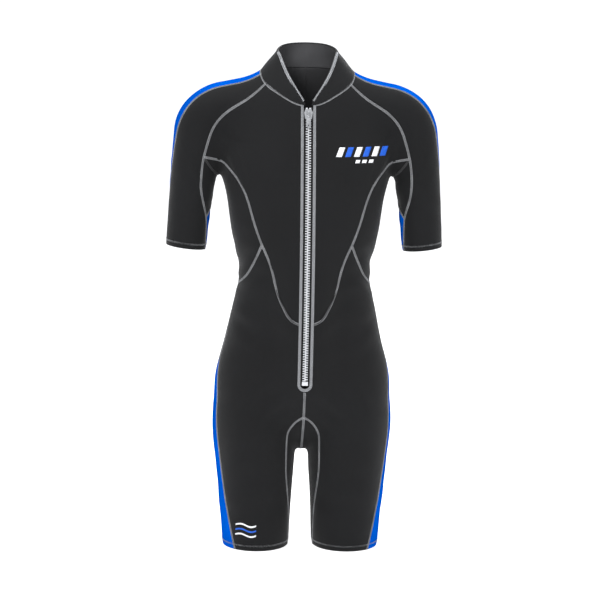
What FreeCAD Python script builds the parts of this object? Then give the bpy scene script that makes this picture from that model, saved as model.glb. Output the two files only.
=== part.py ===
"""Shorty wetsuit with a front zip, cut from 2 mm neoprene panels.

Millimetres. +X is the wearer's left, the front faces -Y, +Z is up.  The
origin is the centre of the neck opening at the collar seam.  Heights in the
tables below are measured from the leg hems and are moved down at the end.
"""
import FreeCAD, Part
import math
import os

V = FreeCAD.Vector

# ---------------------------------------------------------------- dimensions
NECK_Z = 930.0          # height of the collar seam at the side of the neck
SKIN = 2.0              # neoprene thickness
SEAM_INSET = 0.22       # each panel stops this far short of the seam line
LEG_HEM_Z = 8.0
CUFF_IN_Z, CUFF_OUT_Z = 597.0, 606.0
CUFF_IN_X, CUFF_OUT_X = 193.0, 270.0

ZIP_TOP = (-66.0, 884.0)      # y, z of the zip line at the neck
ZIP_END = (-95.0, 336.0)      # y, z where the zip slot closes
ZIP_R = 1110.0                # the zip lies along one arc of this radius
SLOT_HALF = 9.5               # half width of the gap between the zip edges
TAPE_DEPTH = 2.9              # tape centre below the outer face of the panels
TAPE_THICK = 0.8
TAPE_IN, TAPE_OUT = 2.2, 15.0
TOOTH_PITCH = 4.9
TOOTH_LONG = 2.0
TOOTH_HALF_HIGH = 2.1
TOOTH_ROOT, TOOTH_TIP = 5.0, -1.1
TOOTH_SEAT = 0.05             # play between a tooth or stop and its tape
SLIDER_LONG = 19.0
SLIDER_HALF_W = 8.2
SLIDER_TAPER = 1.6            # how much narrower the slider is at its foot
SLIDER_WALL = 1.4
SLIDER_GAP = 0.35             # running clearance over the teeth
FLANGE_WALL = 1.1             # side flanges that keep the teeth in
WEDGE_LONG, WEDGE_HALF = 7.5, 2.2
SLIDER_MOUTH = 11.0           # the closed chain starts this far below the slider's top
BAIL_FOOT, BAIL_RISE, BAIL_WIRE, BAIL_W = 5.2, 3.6, 1.1, 2.4
BAIL_SEAT = 0.01              # film between the bridge and the slider's front plate
TAB_LONG, TAB_W, TAB_THICK = 24.0, 8.5, 1.6
TAB_RING, TAB_EYE_WALL, TAB_BAR_R = 4.4, 1.7, 0.55
TAB_HOLE_R, TAB_HOLE_UP = 1.7, 4.0
TAB_ROUND = 2.6
STOP_LONG, STOP_HALF_HIGH, STOP_SIDE = 7.5, 2.4, 0.8
CLIP_LONG = 2.6               # each top stop along its tape
COLLAR_GAP = 0.5
COLLAR_FRONT = 6.5            # the collar starts this far from the centre line
COLLAR_AXIS_Y = 6.0           # the collar leans around this upright axis

# torso sections: height, half width, front y, back y, squareness
TORSO = [
    (225, 22, -16, 40, 2.0), (258, 90, -58, 84, 2.1), (300, 138, -82, 110, 2.3),
    (350, 158, -91, 122, 2.4), (420, 149, -95, 112, 2.4), (500, 135, -101, 92, 2.3),
    (565, 128, -106, 84, 2.2), (625, 141, -110, 90, 2.2), (690, 151, -111, 100, 2.3),
    (740, 160, -107, 106, 2.4), (790, 164, -96, 106, 2.4), (840, 150, -79, 98, 2.3),
    (880, 116, -64, 85, 2.1), (910, 86, -57, 74, 2.0), (945, 68, -54, 64, 2.0),
    (1010, 62, -52, 60, 2.0),
]
# leg sections: height, centre x, centre y, half width, half depth
LEG = [
    (-30, 89, 4, 63, 73), (25, 89, 4, 66, 77), (104, 90.5, 5, 72, 84),
    (198, 92, 6, 80, 93), (250, 92, 8, 84, 98), (300, 90, 10, 84, 100),
    (350, 86, 10, 78, 92), (420, 78, 8, 60, 74), (500, 70, 5, 42, 50),
    (560, 60, 0, 15, 20),
]
# arm line: shoulder start, length of the level run, bend radius, two slopes
ARM_START = (70.0, 888.0)
ARM_RUN, ARM_BEND_R = 90.7, 60.0
ARM_SLOPE_0, ARM_SLOPE_1 = math.radians(7), math.radians(85)
# arm sections: distance along the arm, half width, half depth, centre y
ARM = [
    (0, 53, 60, 12), (60, 48, 57, 11), (90, 46, 56, 10), (130, 46, 56, 9),
    (172, 45.5, 55, 8), (220, 44.5, 53, 7), (300, 42, 49, 4), (430, 38, 44, 2),
]
BLEND_LEGS, BLEND_HIP = 24.0, 40.0
BLEND_ARMPIT, BLEND_SHOULDER = 30.0, 62.0   # fillet under and in front of the arm
SHOULDER_LOW, SHOULDER_HIGH = 738.0, 820.0  # the wider fillet comes in between these
WAIST_Z = 560.0                             # legs shape the form below, arms above
CROTCH_PULL = 1.2                           # closes the trunk between the legs
CROTCH_CORE = 16.0                          # rounds the middle of the crotch
ZIP_FLAT, ZIP_FADE = 22.0, 75.0             # half widths eased onto the zip's arc
ZIP_FADE_LOW, ZIP_FADE_HIGH = 280.0, 330.0  # the easing comes in between these heights

# seam lines as a few points each, wearer's left half; heights from the hem
NECK = [(0, -69, 884), (24, -67, 889), (52, -57, 902), (78, -35, 918), (84, -12, 931),
        (82, 12, 940), (68, 42, 946), (38, 62, 950), (0, 70, 951)]
NECK_RAGLAN, NECK_SHOULDER, NECK_BACK = 3, 4, 6
RAGLAN = [(78, -35, 918), (113, -50, 898), (150, -58, 874), (173, -60, 846),
          (190, -58, 806), (197, -50, 779), (202, -46, 742), (199, -44, 705),
          (190, -27, 662), (190, -18, 630), (193, -10, 597)]
RAGLAN_J, RAGLAN_T = 5, 8
SHOULDER = [(84, -12, 931), (112, -17, 929), (155, -21, 923), (195, -22, 906),
            (228, -22, 875), (246, -19, 834), (254, -13, 796), (261, -6, 750),
            (266, 0, 700), (268, 3, 655), (270, 6, 606)]
SHOULDER_T = 9
BACK_RAGLAN = [(68, 42, 946), (108, 58, 918), (150, 70, 882), (180, 74, 838),
               (195, 66, 785), (203, 54, 745), (198, 28, 708), (190, -4, 680),
               (190, -27, 662)]
BACK_RAGLAN_J = 4
PRINCESS = [(197, -50, 779), (178, -60, 767), (157, -78, 749), (134, -95, 718),
            (117, -102, 672), (94, -106, 615), (77, -108, 580), (62, -106, 532),
            (48, -104, 498), (27, -103, 472), (0, -104, 463)]
PRINCESS_D = 5
BACK_PRINCESS = [(195, 66, 785), (172, 84, 772), (150, 96, 745), (134, 100, 700),
                 (118, 98, 650), (98, 90, 598), (72, 88, 545), (45, 92, 505),
                 (20, 95, 480), (0, 96, 474)]
BACK_PRINCESS_D = 5
ARMHOLE = [(197, -50, 779), (184, -28, 757), (176, 2, 746), (184, 36, 762),
           (195, 66, 785)]
ARMHOLE_P = 2
SIDE = [(172, 2, 746), (160, 0, 715), (150, 0, 680), (140, 0, 625), (128, -2, 570),
        (132, -5, 531)]
SLANT = [(94, -106, 615), (110, -92, 583), (124, -60, 552), (132, -5, 531)]
BACK_SLANT = [(98, 90, 598), (112, 74, 575), (126, 42, 550), (132, -5, 531)]
HIP = [(132, -5, 531), (134, -5, 500), (140, -5, 455), (149, -5, 420), (157, -5, 392)]
BLUE = [(157, -5, 392), (164, -20, 340), (168, -31, 258), (163, -38, 184),
        (149, -43, 97), (131, -54, 8)]
BACK_BLUE = [(157, -5, 392), (166, 16, 335), (169, 36, 255), (162, 48, 180),
             (149, 56, 95), (132, 60, 8)]
BLUE_CUT = 1
CENTRE_FRONT = [(0, -104, 463), (0, -100, 400), (0, -95, 336), (0, -72, 277)]
CENTRE_BACK = [(0, 96, 474), (0, 112, 410), (0, 112, 340), (0, 88, 285)]
CENTRE_CUT = 1
CROTCH = [(0, -72, 277), (0, -45, 258), (0, 5, 250), (0, 55, 260), (0, 88, 285)]
GUSSET = [(0, -72, 277), (14, -68, 268), (28, -62, 240), (32, -56, 200),
          (31, -48, 150), (27, -35, 110), (24, -20, 60), (23.5, -8, 8)]
BACK_GUSSET = [(0, 88, 285), (14, 86, 273), (30, 77, 240), (34, 66, 198),
               (32, 56, 150), (28, 46, 105), (25, 36, 60), (25, 32, 8)]
# lines inside a panel that only steer its surface
HIP_LINE = [(132, -5, 531), (116, -70, 500), (66, -102, 455), (0, -100, 400)]
BACK_HIP_LINE = [(132, -5, 531), (118, 66, 505), (66, 104, 460), (0, 112, 410)]
THIGH_LINE = [(164, -20, 340), (130, -74, 325), (68, -92, 295), (0, -72, 277)]
BACK_THIGH_LINE = [(166, 16, 335), (132, 92, 325), (68, 112, 300), (0, 88, 285)]
CUFF_LINE = [(268, 5, 655), (254, 38, 657), (230, 51, 659), (208, 42, 660),
             (194, 10, 661), (190, -27, 662)]
FRONT_MID = [(62, -106, 532), (70, -100, 462), (85, -92, 302), (91, -88, 200),
             (91, -80, 100), (90, -73, 8)]
BACK_MID = [(72, 88, 545), (74, 108, 465), (88, 112, 302), (91, 100, 200),
            (91, 90, 100), (90, 80, 8)]
SLEEVE_MID = [(82, -25, 926), (120, -38, 914), (165, -45, 892), (205, -48, 852),
              (222, -48, 790), (227, -46, 700), (231, -42, 650), (234, -38, 601)]
SHOULDER_MID = [(82, 12, 940), (120, 30, 932), (165, 52, 896), (205, 62, 850),
                (224, 64, 790), (226, 58, 720), (230, 51, 659), (233, 46, 601)]
SHOULDER_MID_T = 6
UNDERARM_MID = [(176, 2, 746), (184, 0, 715), (186, -12, 690), (190, -26, 668)]
OUTER_MID = [(165, -2, 340), (175, 6, 300), (176, 8, 255), (171, 7, 180),
             (161, 5, 95), (153, 4, 8)]
INNER_MID = [(0, 5, 250), (10.2, 11, 195), (13.4, 9, 180), (15.6, 8, 150),
             (19, 6, 100), (22, 5, 60), (24, 6, 8)]
SPINE = [(0, 70, 951), (0, 100, 860), (0, 105, 760), (0, 98, 650), (0, 88, 565),
         (0, 96, 474)]
# collar: top edge from the zip to the back of the neck
COLLAR_TOP = [(9, -70, 893), (28, -62, 924), (44, -45, 954), (54, -21, 979),
              (57, 8, 987), (49, 36, 993), (29, 57, 997), (0, 65, 998)]


# ---------------------------------------------------------------- small maths
def natural_spline(ts, ys):
    """Return a function that runs smoothly through the given values."""
    n = len(ts)
    if n == 2:
        return lambda t: ys[0] + (ys[1] - ys[0]) * (t - ts[0]) / (ts[1] - ts[0])
    h = [ts[i + 1] - ts[i] for i in range(n - 1)]
    rhs = [6 * ((ys[i + 1] - ys[i]) / h[i] - (ys[i] - ys[i - 1]) / h[i - 1]) for i in range(1, n - 1)]
    diag = [2 * (h[i - 1] + h[i]) for i in range(1, n - 1)]
    for i in range(1, n - 2):
        w = h[i] / diag[i - 1]
        diag[i] -= w * h[i]
        rhs[i] -= w * rhs[i - 1]
    m = [0.0] * n
    for i in range(n - 3, -1, -1):
        m[i + 1] = (rhs[i] - (h[i + 1] * m[i + 2] if i < n - 3 else 0)) / diag[i]

    def value(t):
        k = 0
        while k < n - 2 and t > ts[k + 1]:
            k += 1
        a, b = (ts[k + 1] - t) / h[k], (t - ts[k]) / h[k]
        bend = ((a ** 3 - a) * m[k] + (b ** 3 - b) * m[k + 1]) * h[k] ** 2 / 6
        return a * ys[k] + b * ys[k + 1] + bend

    return value


class Table:
    """Section sizes against height, looked up every millimetre."""

    def __init__(self, rows):
        ts = [float(r[0]) for r in rows]
        cols = [natural_spline(ts, [float(r[c]) for r in rows]) for c in range(1, len(rows[0]))]
        self.low, self.count = ts[0], int(ts[-1] - ts[0])
        self.data = [[c(self.low + i) for c in cols] for i in range(self.count + 1)]

    def at(self, t):
        u = min(max(t - self.low, 0.0), self.count - 1e-6)
        i = int(u)
        f = u - i
        return [a + (b - a) * f for a, b in zip(self.data[i], self.data[i + 1])]


def ease(value, low, high):
    """Smooth step from 0 at low to 1 at high."""
    t = min(max((value - low) / (high - low), 0.0), 1.0)
    return t * t * (3 - 2 * t)


def smooth_min(a, b, k):
    """Join two distances with a fillet about k wide."""
    h = max(k - abs(a - b), 0.0) / k
    return min(a, b) - h * h * k / 4


TORSO_T, LEG_T, ARM_T = Table(TORSO), Table(LEG), Table(ARM)


def torso_distance(x, y, z):
    """Distance outside the trunk and neck."""
    a, front, back, n = TORSO_T.at(z)
    y0 = (front + back) / 2
    b = (back - front) / 2
    r = math.hypot(x, y - y0) + 1e-9
    rho = ((abs(x) / a) ** n + (abs(y - y0) / b) ** n) ** (1 / n) + 1e-9
    below = max(TORSO_T.low - z, 0.0)
    keep = r * r / (r * r + min(below, CROTCH_CORE) ** 2)
    return r - keep * r / rho - (1 - keep) * min(a, b) + CROTCH_PULL * below


def leg_distance(x, y, z):
    """Distance outside one leg of the suit."""
    xc, yc, a, b = LEG_T.at(z)
    r = math.hypot(x - xc, y - yc) + 1e-9
    rho = math.hypot((x - xc) / a, (y - yc) / b) + 1e-9
    return r * (1 - 1 / rho)


def arm_frame():
    """Ends and centre of the line that the arm follows."""
    d0 = (math.cos(ARM_SLOPE_0), -math.sin(ARM_SLOPE_0))
    d1 = (math.cos(ARM_SLOPE_1), -math.sin(ARM_SLOPE_1))
    p1 = (ARM_START[0] + ARM_RUN * d0[0], ARM_START[1] + ARM_RUN * d0[1])
    c = (p1[0] + ARM_BEND_R * d0[1], p1[1] - ARM_BEND_R * d0[0])
    p2 = (c[0] - ARM_BEND_R * d1[1], c[1] + ARM_BEND_R * d1[0])
    return d0, d1, p1, c, p2


ARM_D0, ARM_D1, ARM_P1, ARM_C, ARM_P2 = arm_frame()
ARM_ARC = ARM_BEND_R * (ARM_SLOPE_1 - ARM_SLOPE_0)


def arm_distance(x, y, z):
    """Distance outside the shoulder and arm."""
    s2 = (x - ARM_P2[0]) * ARM_D1[0] + (z - ARM_P2[1]) * ARM_D1[1]
    s0 = (x - ARM_START[0]) * ARM_D0[0] + (z - ARM_START[1]) * ARM_D0[1]
    if s2 > 0 and z < ARM_P2[1] + 20:
        s, d = ARM_RUN + ARM_ARC + s2, abs((x - ARM_P2[0]) * ARM_D1[1] - (z - ARM_P2[1]) * ARM_D1[0])
    elif s0 < 0:
        s, d = 0.0, math.hypot(x - ARM_START[0], z - ARM_START[1])
    elif s0 < ARM_RUN:
        s, d = s0, abs((x - ARM_START[0]) * ARM_D0[1] - (z - ARM_START[1]) * ARM_D0[0])
    else:
        dx, dz = x - ARM_C[0], z - ARM_C[1]
        turn = math.atan2(dx, dz) - ARM_SLOPE_0
        s = ARM_RUN + ARM_BEND_R * min(max(turn, 0.0), ARM_SLOPE_1 - ARM_SLOPE_0)
        d = abs(math.hypot(dx, dz) - ARM_BEND_R)
    a, b, yc = ARM_T.at(s)
    r = math.hypot(d, y - yc) + 1e-9
    rho = math.hypot(d / a, (y - yc) / b) + 1e-9
    return r * (1 - 1 / rho)


def form(x, y, z):
    """Distance outside the worn shape of the suit."""
    f = torso_distance(x, y, z)
    if z < WAIST_Z:
        legs = smooth_min(leg_distance(x, y, z), leg_distance(-x, y, z), BLEND_LEGS)
        f = smooth_min(f, legs, BLEND_HIP)
    if z > WAIST_Z:
        k = BLEND_ARMPIT + (BLEND_SHOULDER - BLEND_ARMPIT) * ease(z, SHOULDER_LOW, SHOULDER_HIGH)
        f = smooth_min(f, arm_distance(abs(x), y, z), k)
    return f


def gradient(p):
    """Direction in which the distance grows fastest, and the distance."""
    h = 0.4
    f = form(*p)
    g = [(form(p[0] + h, p[1], p[2]) - f) / h, (form(p[0], p[1] + h, p[2]) - f) / h,
         (form(p[0], p[1], p[2] + h) - f) / h]
    return g, f


def normal(p):
    """Unit vector that points out of the suit at p."""
    g, _ = gradient(p)
    n = math.sqrt(sum(c * c for c in g))
    return [c / n for c in g]


def settle(p, lock=(False, False, False), rounds=5):
    """Move a point onto the suit, keeping any locked coordinate."""
    p = [float(c) for c in p]
    for _ in range(rounds):
        g, f = gradient(p)
        g = [0.0 if k else c for k, c in zip(lock, g)]
        gg = sum(c * c for c in g) + 1e-12
        step = min(abs(f) / math.sqrt(gg), 12.0) * (1 if f > 0 else -1) / math.sqrt(gg)
        p = [c - step * d for c, d in zip(p, g)]
    return p


def zip_centre():
    """Centre of the zip's arc, as y and z."""
    (y0, z0), (y1, z1) = ZIP_TOP, ZIP_END
    half = math.hypot(y1 - y0, z1 - z0) / 2
    away = math.sqrt(ZIP_R ** 2 - half ** 2)
    uy, uz = (y1 - y0) / (2 * half), (z1 - z0) / (2 * half)
    return (y0 + y1) / 2 - uz * away, (z0 + z1) / 2 + uy * away


ZIP_C = zip_centre()


def zip_y(z):
    """y of the zip line on the outer face at a height."""
    return ZIP_C[0] - math.sqrt(ZIP_R ** 2 - (z - ZIP_C[1]) ** 2)


def zip_angle(z):
    """Angle of a height on the zip's arc, positive upwards."""
    return math.asin((z - ZIP_C[1]) / ZIP_R)


FRONT_SHIFT = {}


def front_shift(z):
    """How far the plain shape lies from the zip line at a height."""
    k = round(z)
    if k not in FRONT_SHIFT:
        p = settle((0, zip_y(k), k), (True, False, True))
        FRONT_SHIFT[k] = zip_y(k) - p[1]
    return FRONT_SHIFT[k]


def fit(p):
    """Ease a settled point near the front centre onto the zip's arc."""
    x, y, z = p
    if y > -20 or abs(x) > ZIP_FADE:
        return p
    out = min(max((abs(x) - ZIP_FLAT) / (ZIP_FADE - ZIP_FLAT), 0.0), 1.0)
    fade_x = 0.5 + 0.5 * math.cos(math.pi * out)
    fade_z = ease(z, ZIP_FADE_LOW, ZIP_FADE_HIGH)
    zc = min(z, ZIP_TOP[1] + 6)
    k = math.floor(zc)
    shift = front_shift(k) + (front_shift(k + 1) - front_shift(k)) * (zc - k)
    return [x, y + shift * fade_x * fade_z, z]


def lerp(a, b, t):
    """Point part of the way from a to b."""
    return [p + (q - p) * t for p, q in zip(a, b)]


def distance(a, b):
    """Length from a to b."""
    return math.sqrt(sum((p - q) ** 2 for p, q in zip(a, b)))


# ---------------------------------------------------------------- seam lines
class Line:
    """A smooth line lying on the suit, steered by a few points."""

    def __init__(self, points, lock_x=False, plane=None, free=False):
        ends = [self._place(p, lock_x, plane, free) for p in points]
        ts = [0.0]
        for a, b in zip(ends, ends[1:]):
            ts.append(ts[-1] + max(distance(a, b), 0.01))
        axes = [natural_spline(ts, [p[c] for p in ends]) for c in range(3)]
        fine = 24
        self.dense, self.knots = [], [0]
        for i in range(len(ts) - 1):
            for j in range(fine if i < len(ts) - 2 else fine + 1):
                t = ts[i] + (ts[i + 1] - ts[i]) * j / fine
                raw = [a(t) for a in axes]
                self.dense.append(self._place(raw, lock_x, plane, free))
            self.knots.append((i + 1) * fine)

    @staticmethod
    def _place(p, lock_x, plane, free):
        if free:
            return [float(c) for c in p]
        if plane:
            return plane(p)
        return fit(settle(p, (lock_x, False, False)))

    def part(self, count, first=0, last=None):
        """Evenly spaced points between two steering points."""
        last = len(self.knots) - 1 if last is None else last
        a, b = self.knots[first], self.knots[last]
        run = self.dense[a:b + 1] if a < b else self.dense[b:a + 1][::-1]
        return even(run, count)


def even(run, count):
    """Resample a run of points at equal distances."""
    lengths = [0.0]
    for a, b in zip(run, run[1:]):
        lengths.append(lengths[-1] + distance(a, b))
    out, k = [], 0
    for i in range(count):
        want = lengths[-1] * i / (count - 1)
        while k < len(run) - 2 and lengths[k + 1] < want:
            k += 1
        gap = max(lengths[k + 1] - lengths[k], 1e-9)
        out.append(lerp(run[k], run[k + 1], (want - lengths[k]) / gap))
    out[0], out[-1] = list(run[0]), list(run[-1])
    return out


def leg_hem(p):
    """Nearest point of the level leg hem."""
    return settle((p[0], p[1], LEG_HEM_Z), (False, False, True))


def cuff(p):
    """Nearest point of the slanted sleeve hem."""
    x, y = p[0], p[1]
    for _ in range(4):
        z = CUFF_IN_Z + (x - CUFF_IN_X) / (CUFF_OUT_X - CUFF_IN_X) * (CUFF_OUT_Z - CUFF_IN_Z)
        x, y, z = settle((x, y, z), (False, False, True), 3)
    z = CUFF_IN_Z + (x - CUFF_IN_X) / (CUFF_OUT_X - CUFF_IN_X) * (CUFF_OUT_Z - CUFF_IN_Z)
    return [x, y, z]


def hem_run(a, b, centre, place, count, through):
    """Points round a hem from a to b on the side of 'through'."""
    cx, cy = centre
    ang = [math.atan2(p[1] - cy, p[0] - cx) for p in (a, through, b)]
    for i in (1, 2):
        while ang[i] - ang[i - 1] > math.pi:
            ang[i] -= 2 * math.pi
        while ang[i] - ang[i - 1] < -math.pi:
            ang[i] += 2 * math.pi
    r = (distance(a, (cx, cy, a[2])) + distance(b, (cx, cy, b[2]))) / 2
    steps = 60
    run = []
    for i in range(steps + 1):
        t = ang[0] + (ang[2] - ang[0]) * i / steps
        run.append(place((cx + r * math.cos(t), cy + r * math.sin(t), a[2])))
    run[0], run[-1] = a, b
    return even(run, count)


# ---------------------------------------------------------------- panels
def fill(left, right, top, bottom, rail=None):
    """Grid of points on the suit between four edge runs."""
    n, m = len(left), len(top)
    grid = []
    for i in range(n):
        row = []
        for j in range(m):
            u = j / (m - 1)
            if rail:
                w = (2 * (u - 0.5) * (u - 1), -4 * u * (u - 1), 2 * u * (u - 0.5))
                row.append([w[0] * a + w[1] * b + w[2] * c for a, b, c in zip(left[i], rail[i], right[i])])
            else:
                row.append(lerp(left[i], right[i], u))
        grid.append(row)
    first, last = [list(p) for p in grid[0]], [list(p) for p in grid[-1]]
    for i in range(n):
        v = i / (n - 1)
        for j in range(m):
            for c in range(3):
                grid[i][j][c] += (1 - v) * (top[j][c] - first[j][c]) + v * (bottom[j][c] - last[j][c])
    for i in range(1, n - 1):
        for j in range(1, m - 1):
            grid[i][j] = settle(grid[i][j])
    for _ in range(6):
        new = [[list(p) for p in row] for row in grid]
        for i in range(1, n - 1):
            for j in range(1, m - 1):
                around = (grid[i - 1][j], grid[i + 1][j], grid[i][j - 1], grid[i][j + 1])
                mean = [sum(p[c] for p in around) / 4 for c in range(3)]
                new[i][j] = settle(lerp(grid[i][j], mean, 0.6), rounds=1)
        grid = new
    for i in range(1, n - 1):
        for j in range(1, m - 1):
            grid[i][j] = fit(settle(grid[i][j], rounds=2))
    grid[0], grid[-1] = [list(p) for p in top], [list(p) for p in bottom]
    for i in range(n):
        grid[i][0], grid[i][-1] = list(left[i]), list(right[i])
    return grid


def draw_in(a, b):
    """Point a moved towards b by the seam inset."""
    d = max(distance(a, b), 1e-6)
    return lerp(a, b, SEAM_INSET / d)


def inset_columns(grid):
    """Pull the two long edges of a grid back from the seam."""
    for row in grid:
        row[0], row[-1] = draw_in(row[0], row[1]), draw_in(row[-1], row[-2])
    return grid


def inset_row(row, inner):
    """Pull one end row back from the seam."""
    return [draw_in(a, b) for a, b in zip(row, inner)]


def spline_run(points):
    """Cubic curve at even parameters, so equal points give equal curves."""
    curve = Part.BSplineCurve()
    n = len(points)
    curve.interpolate(Points=[V(*p) for p in points], Parameters=[i / (n - 1) for i in range(n)])
    return curve


def spline_sheet(grid):
    """Cubic surface through a grid of points."""
    rows = [spline_run(r) for r in grid]
    pole_rows = [[tuple(p) for p in r.getPoles()] for r in rows]
    cols = [spline_run([r[j] for r in pole_rows]) for j in range(len(pole_rows[0]))]
    pole_cols = [c.getPoles() for c in cols]
    poles = [[pole_cols[j][i] for j in range(len(pole_cols))] for i in range(len(pole_cols[0]))]
    surf = Part.BSplineSurface()
    surf.buildFromPolesMultsKnots(poles, cols[0].getMultiplicities(), rows[0].getMultiplicities(),
                                  cols[0].getKnots(), rows[0].getKnots(), False, False, 3, 3)
    return surf


def ruled(a, b):
    """Straight face between two matching cubic curves."""
    surf = Part.BSplineSurface()
    surf.buildFromPolesMultsKnots([a.getPoles(), b.getPoles()], [2, 2], a.getMultiplicities(),
                                  [0.0, 1.0], a.getKnots(), False, False, 1, 3)
    return surf.toShape()


def close_solid(faces, label):
    """Sew faces into one solid that faces outwards."""
    shell = Part.makeShell(faces)
    shell.sewShape()
    if shell.ShapeType != "Shell":
        shell = shell.Shells[0]
    solid = Part.Solid(shell)
    if solid.Volume < 0:
        solid.reverse()
    if not solid.isValid():
        solid.fix(1e-3, 1e-3, 1e-2)
    print(label, "valid" if solid.isValid() else "NOT VALID", "closed" if shell.isClosed() else "OPEN",
          round(solid.Volume / 1000, 2), "cm3")
    return solid


def backed(p, away, thickness):
    """Inner point behind an outer one, kept on its own side of the centre."""
    q = [c + thickness * d for c, d in zip(p, away)]
    if 0 < p[0] < SEAM_INSET * 2:
        q[0] = max(q[0], p[0])
    return q


def slab(blocks, label, thickness=SKIN, inward=None):
    """Solid sheet through one or more grids that share their end rows."""
    blocks = [inset_columns([[list(p) for p in row] for row in g]) for g in blocks]
    blocks[0][0] = inset_row(blocks[0][0], blocks[0][1])
    blocks[-1][-1] = inset_row(blocks[-1][-1], blocks[-1][-2])
    for a, b in zip(blocks, blocks[1:]):
        b[0] = [list(p) for p in a[-1]]
    inward = inward or (lambda p: [-c for c in normal(p)])
    faces = []
    for k, outer in enumerate(blocks):
        inner = [[backed(p, inward(p), thickness) for p in row] for row in outer]
        so, si = spline_sheet(outer), spline_sheet(inner)
        faces += [so.toShape(), si.toShape()]
        for at in (0.0, 1.0):
            faces.append(ruled(so.vIso(at), si.vIso(at)))
        if k == 0:
            faces.append(ruled(so.uIso(0.0), si.uIso(0.0)))
        if k == len(blocks) - 1:
            faces.append(ruled(so.uIso(1.0), si.uIso(1.0)))
    return close_solid(faces, label)


def mirrored(shape):
    """The same piece for the other side of the suit."""
    return shape.mirror(V(0, 0, 0), V(1, 0, 0))


class Seams:
    """Every seam line of the suit's left half."""

    def __init__(self):
        self.neck = Line(NECK)
        ends = self.neck
        raglan = list(RAGLAN)
        raglan[0] = ends.dense[ends.knots[NECK_RAGLAN]]
        raglan[-1] = cuff(RAGLAN[-1])
        self.raglan = Line(raglan)
        shoulder = list(SHOULDER)
        shoulder[0] = ends.dense[ends.knots[NECK_SHOULDER]]
        shoulder[-1] = cuff(SHOULDER[-1])
        self.shoulder = Line(shoulder)
        self.cuff_front = self.raglan.dense[-1] = cuff(self.raglan.dense[-1])
        self.cuff_back = self.shoulder.dense[-1] = cuff(self.shoulder.dense[-1])
        self.j = self.raglan.dense[self.raglan.knots[RAGLAN_J]]
        self.t = self.raglan.dense[self.raglan.knots[RAGLAN_T]]
        back = list(BACK_RAGLAN)
        back[0], back[-1] = ends.dense[ends.knots[NECK_BACK]], self.t
        self.back_raglan = Line(back)
        self.jb = self.back_raglan.dense[self.back_raglan.knots[BACK_RAGLAN_J]]
        self.princess = Line([self.j] + PRINCESS[1:-1] + [settle(PRINCESS[-1], (True, False, True))])
        self.back_princess = Line([self.jb] + BACK_PRINCESS[1:-1]
                                  + [settle(BACK_PRINCESS[-1], (True, False, True))])
        self.d = self.princess.dense[self.princess.knots[PRINCESS_D]]
        self.db = self.back_princess.dense[self.back_princess.knots[BACK_PRINCESS_D]]
        self.armhole = Line([self.j] + ARMHOLE[1:-1] + [self.jb])
        self.p = self.armhole.dense[self.armhole.knots[ARMHOLE_P]]
        self.side = Line([self.p] + SIDE[1:])
        self.w = self.side.dense[-1]
        self.slant = Line([self.d] + SLANT[1:-1] + [self.w])
        self.back_slant = Line([self.db] + BACK_SLANT[1:-1] + [self.w])
        self.hip = Line([self.w] + HIP[1:])
        self.a = self.hip.dense[-1]
        self.c3, self.cb3 = self.princess.dense[-1], self.back_princess.dense[-1]
        self.centre_front = Line([self.c3] + CENTRE_FRONT[1:], lock_x=True)
        self.centre_back = Line([self.cb3] + CENTRE_BACK[1:], lock_x=True)
        self.k, self.kb = self.centre_front.dense[-1], self.centre_back.dense[-1]
        self.crotch = Line([self.k] + CROTCH[1:-1] + [self.kb], lock_x=True)
        self.blue = self._to_hem([self.a] + BLUE[1:])
        self.back_blue = self._to_hem([self.a] + BACK_BLUE[1:])
        self.gusset = self._to_hem([self.k] + GUSSET[1:])
        self.back_gusset = self._to_hem([self.kb] + BACK_GUSSET[1:])
        self.front_edge = Line([self.neck.dense[0], (0, -90, 800), (0, -112, 650), (0, -110, 550), self.c3],
                               lock_x=True)

    @staticmethod
    def _to_hem(points):
        line = Line(points[:-1] + [leg_hem(points[-1])])
        line.dense[-1] = leg_hem(line.dense[-1])
        return line

    def leg_edge(self, a, b, count, through):
        """Hem points between two seam ends."""
        return hem_run(a.dense[-1], b.dense[-1], (89.0, 4.0), leg_hem, count, through)

    def cuff_edge(self, a, b, count, through):
        """Sleeve hem points between two seam ends."""
        return hem_run(a, b, (232.0, 2.0), cuff, count, through)


def rail(points, count, ends=None):
    """Steering run inside a panel."""
    run = Line(points).dense
    if ends:
        run = [ends[0]] + run[1:-1] + [ends[1]]
    return even(run, count)


def front_panel(s):
    """Chest and belly panel beside the zip."""
    n, m = 31, 19
    return slab([fill(s.front_edge.part(n), s.raglan.part(n, 0, RAGLAN_J), s.neck.part(m, 0, NECK_RAGLAN),
                      s.princess.part(m, len(PRINCESS) - 1, 0))], "front_panel")


def side_panel(s):
    """Front half of the flank."""
    n, m = 19, 9
    return slab([fill(s.princess.part(n, 0, PRINCESS_D), s.side.part(n), s.armhole.part(m, 0, ARMHOLE_P),
                      s.slant.part(m))], "side_panel")


def side_back_panel(s):
    """Back half of the flank."""
    n, m = 19, 9
    return slab([fill(s.back_princess.part(n, 0, BACK_PRINCESS_D), s.side.part(n),
                      s.armhole.part(m, len(ARMHOLE) - 1, ARMHOLE_P), s.back_slant.part(m))],
                "side_back_panel")


def flip(points):
    """The same run on the other side of the suit."""
    return [[-p[0], p[1], p[2]] for p in points]


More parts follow.
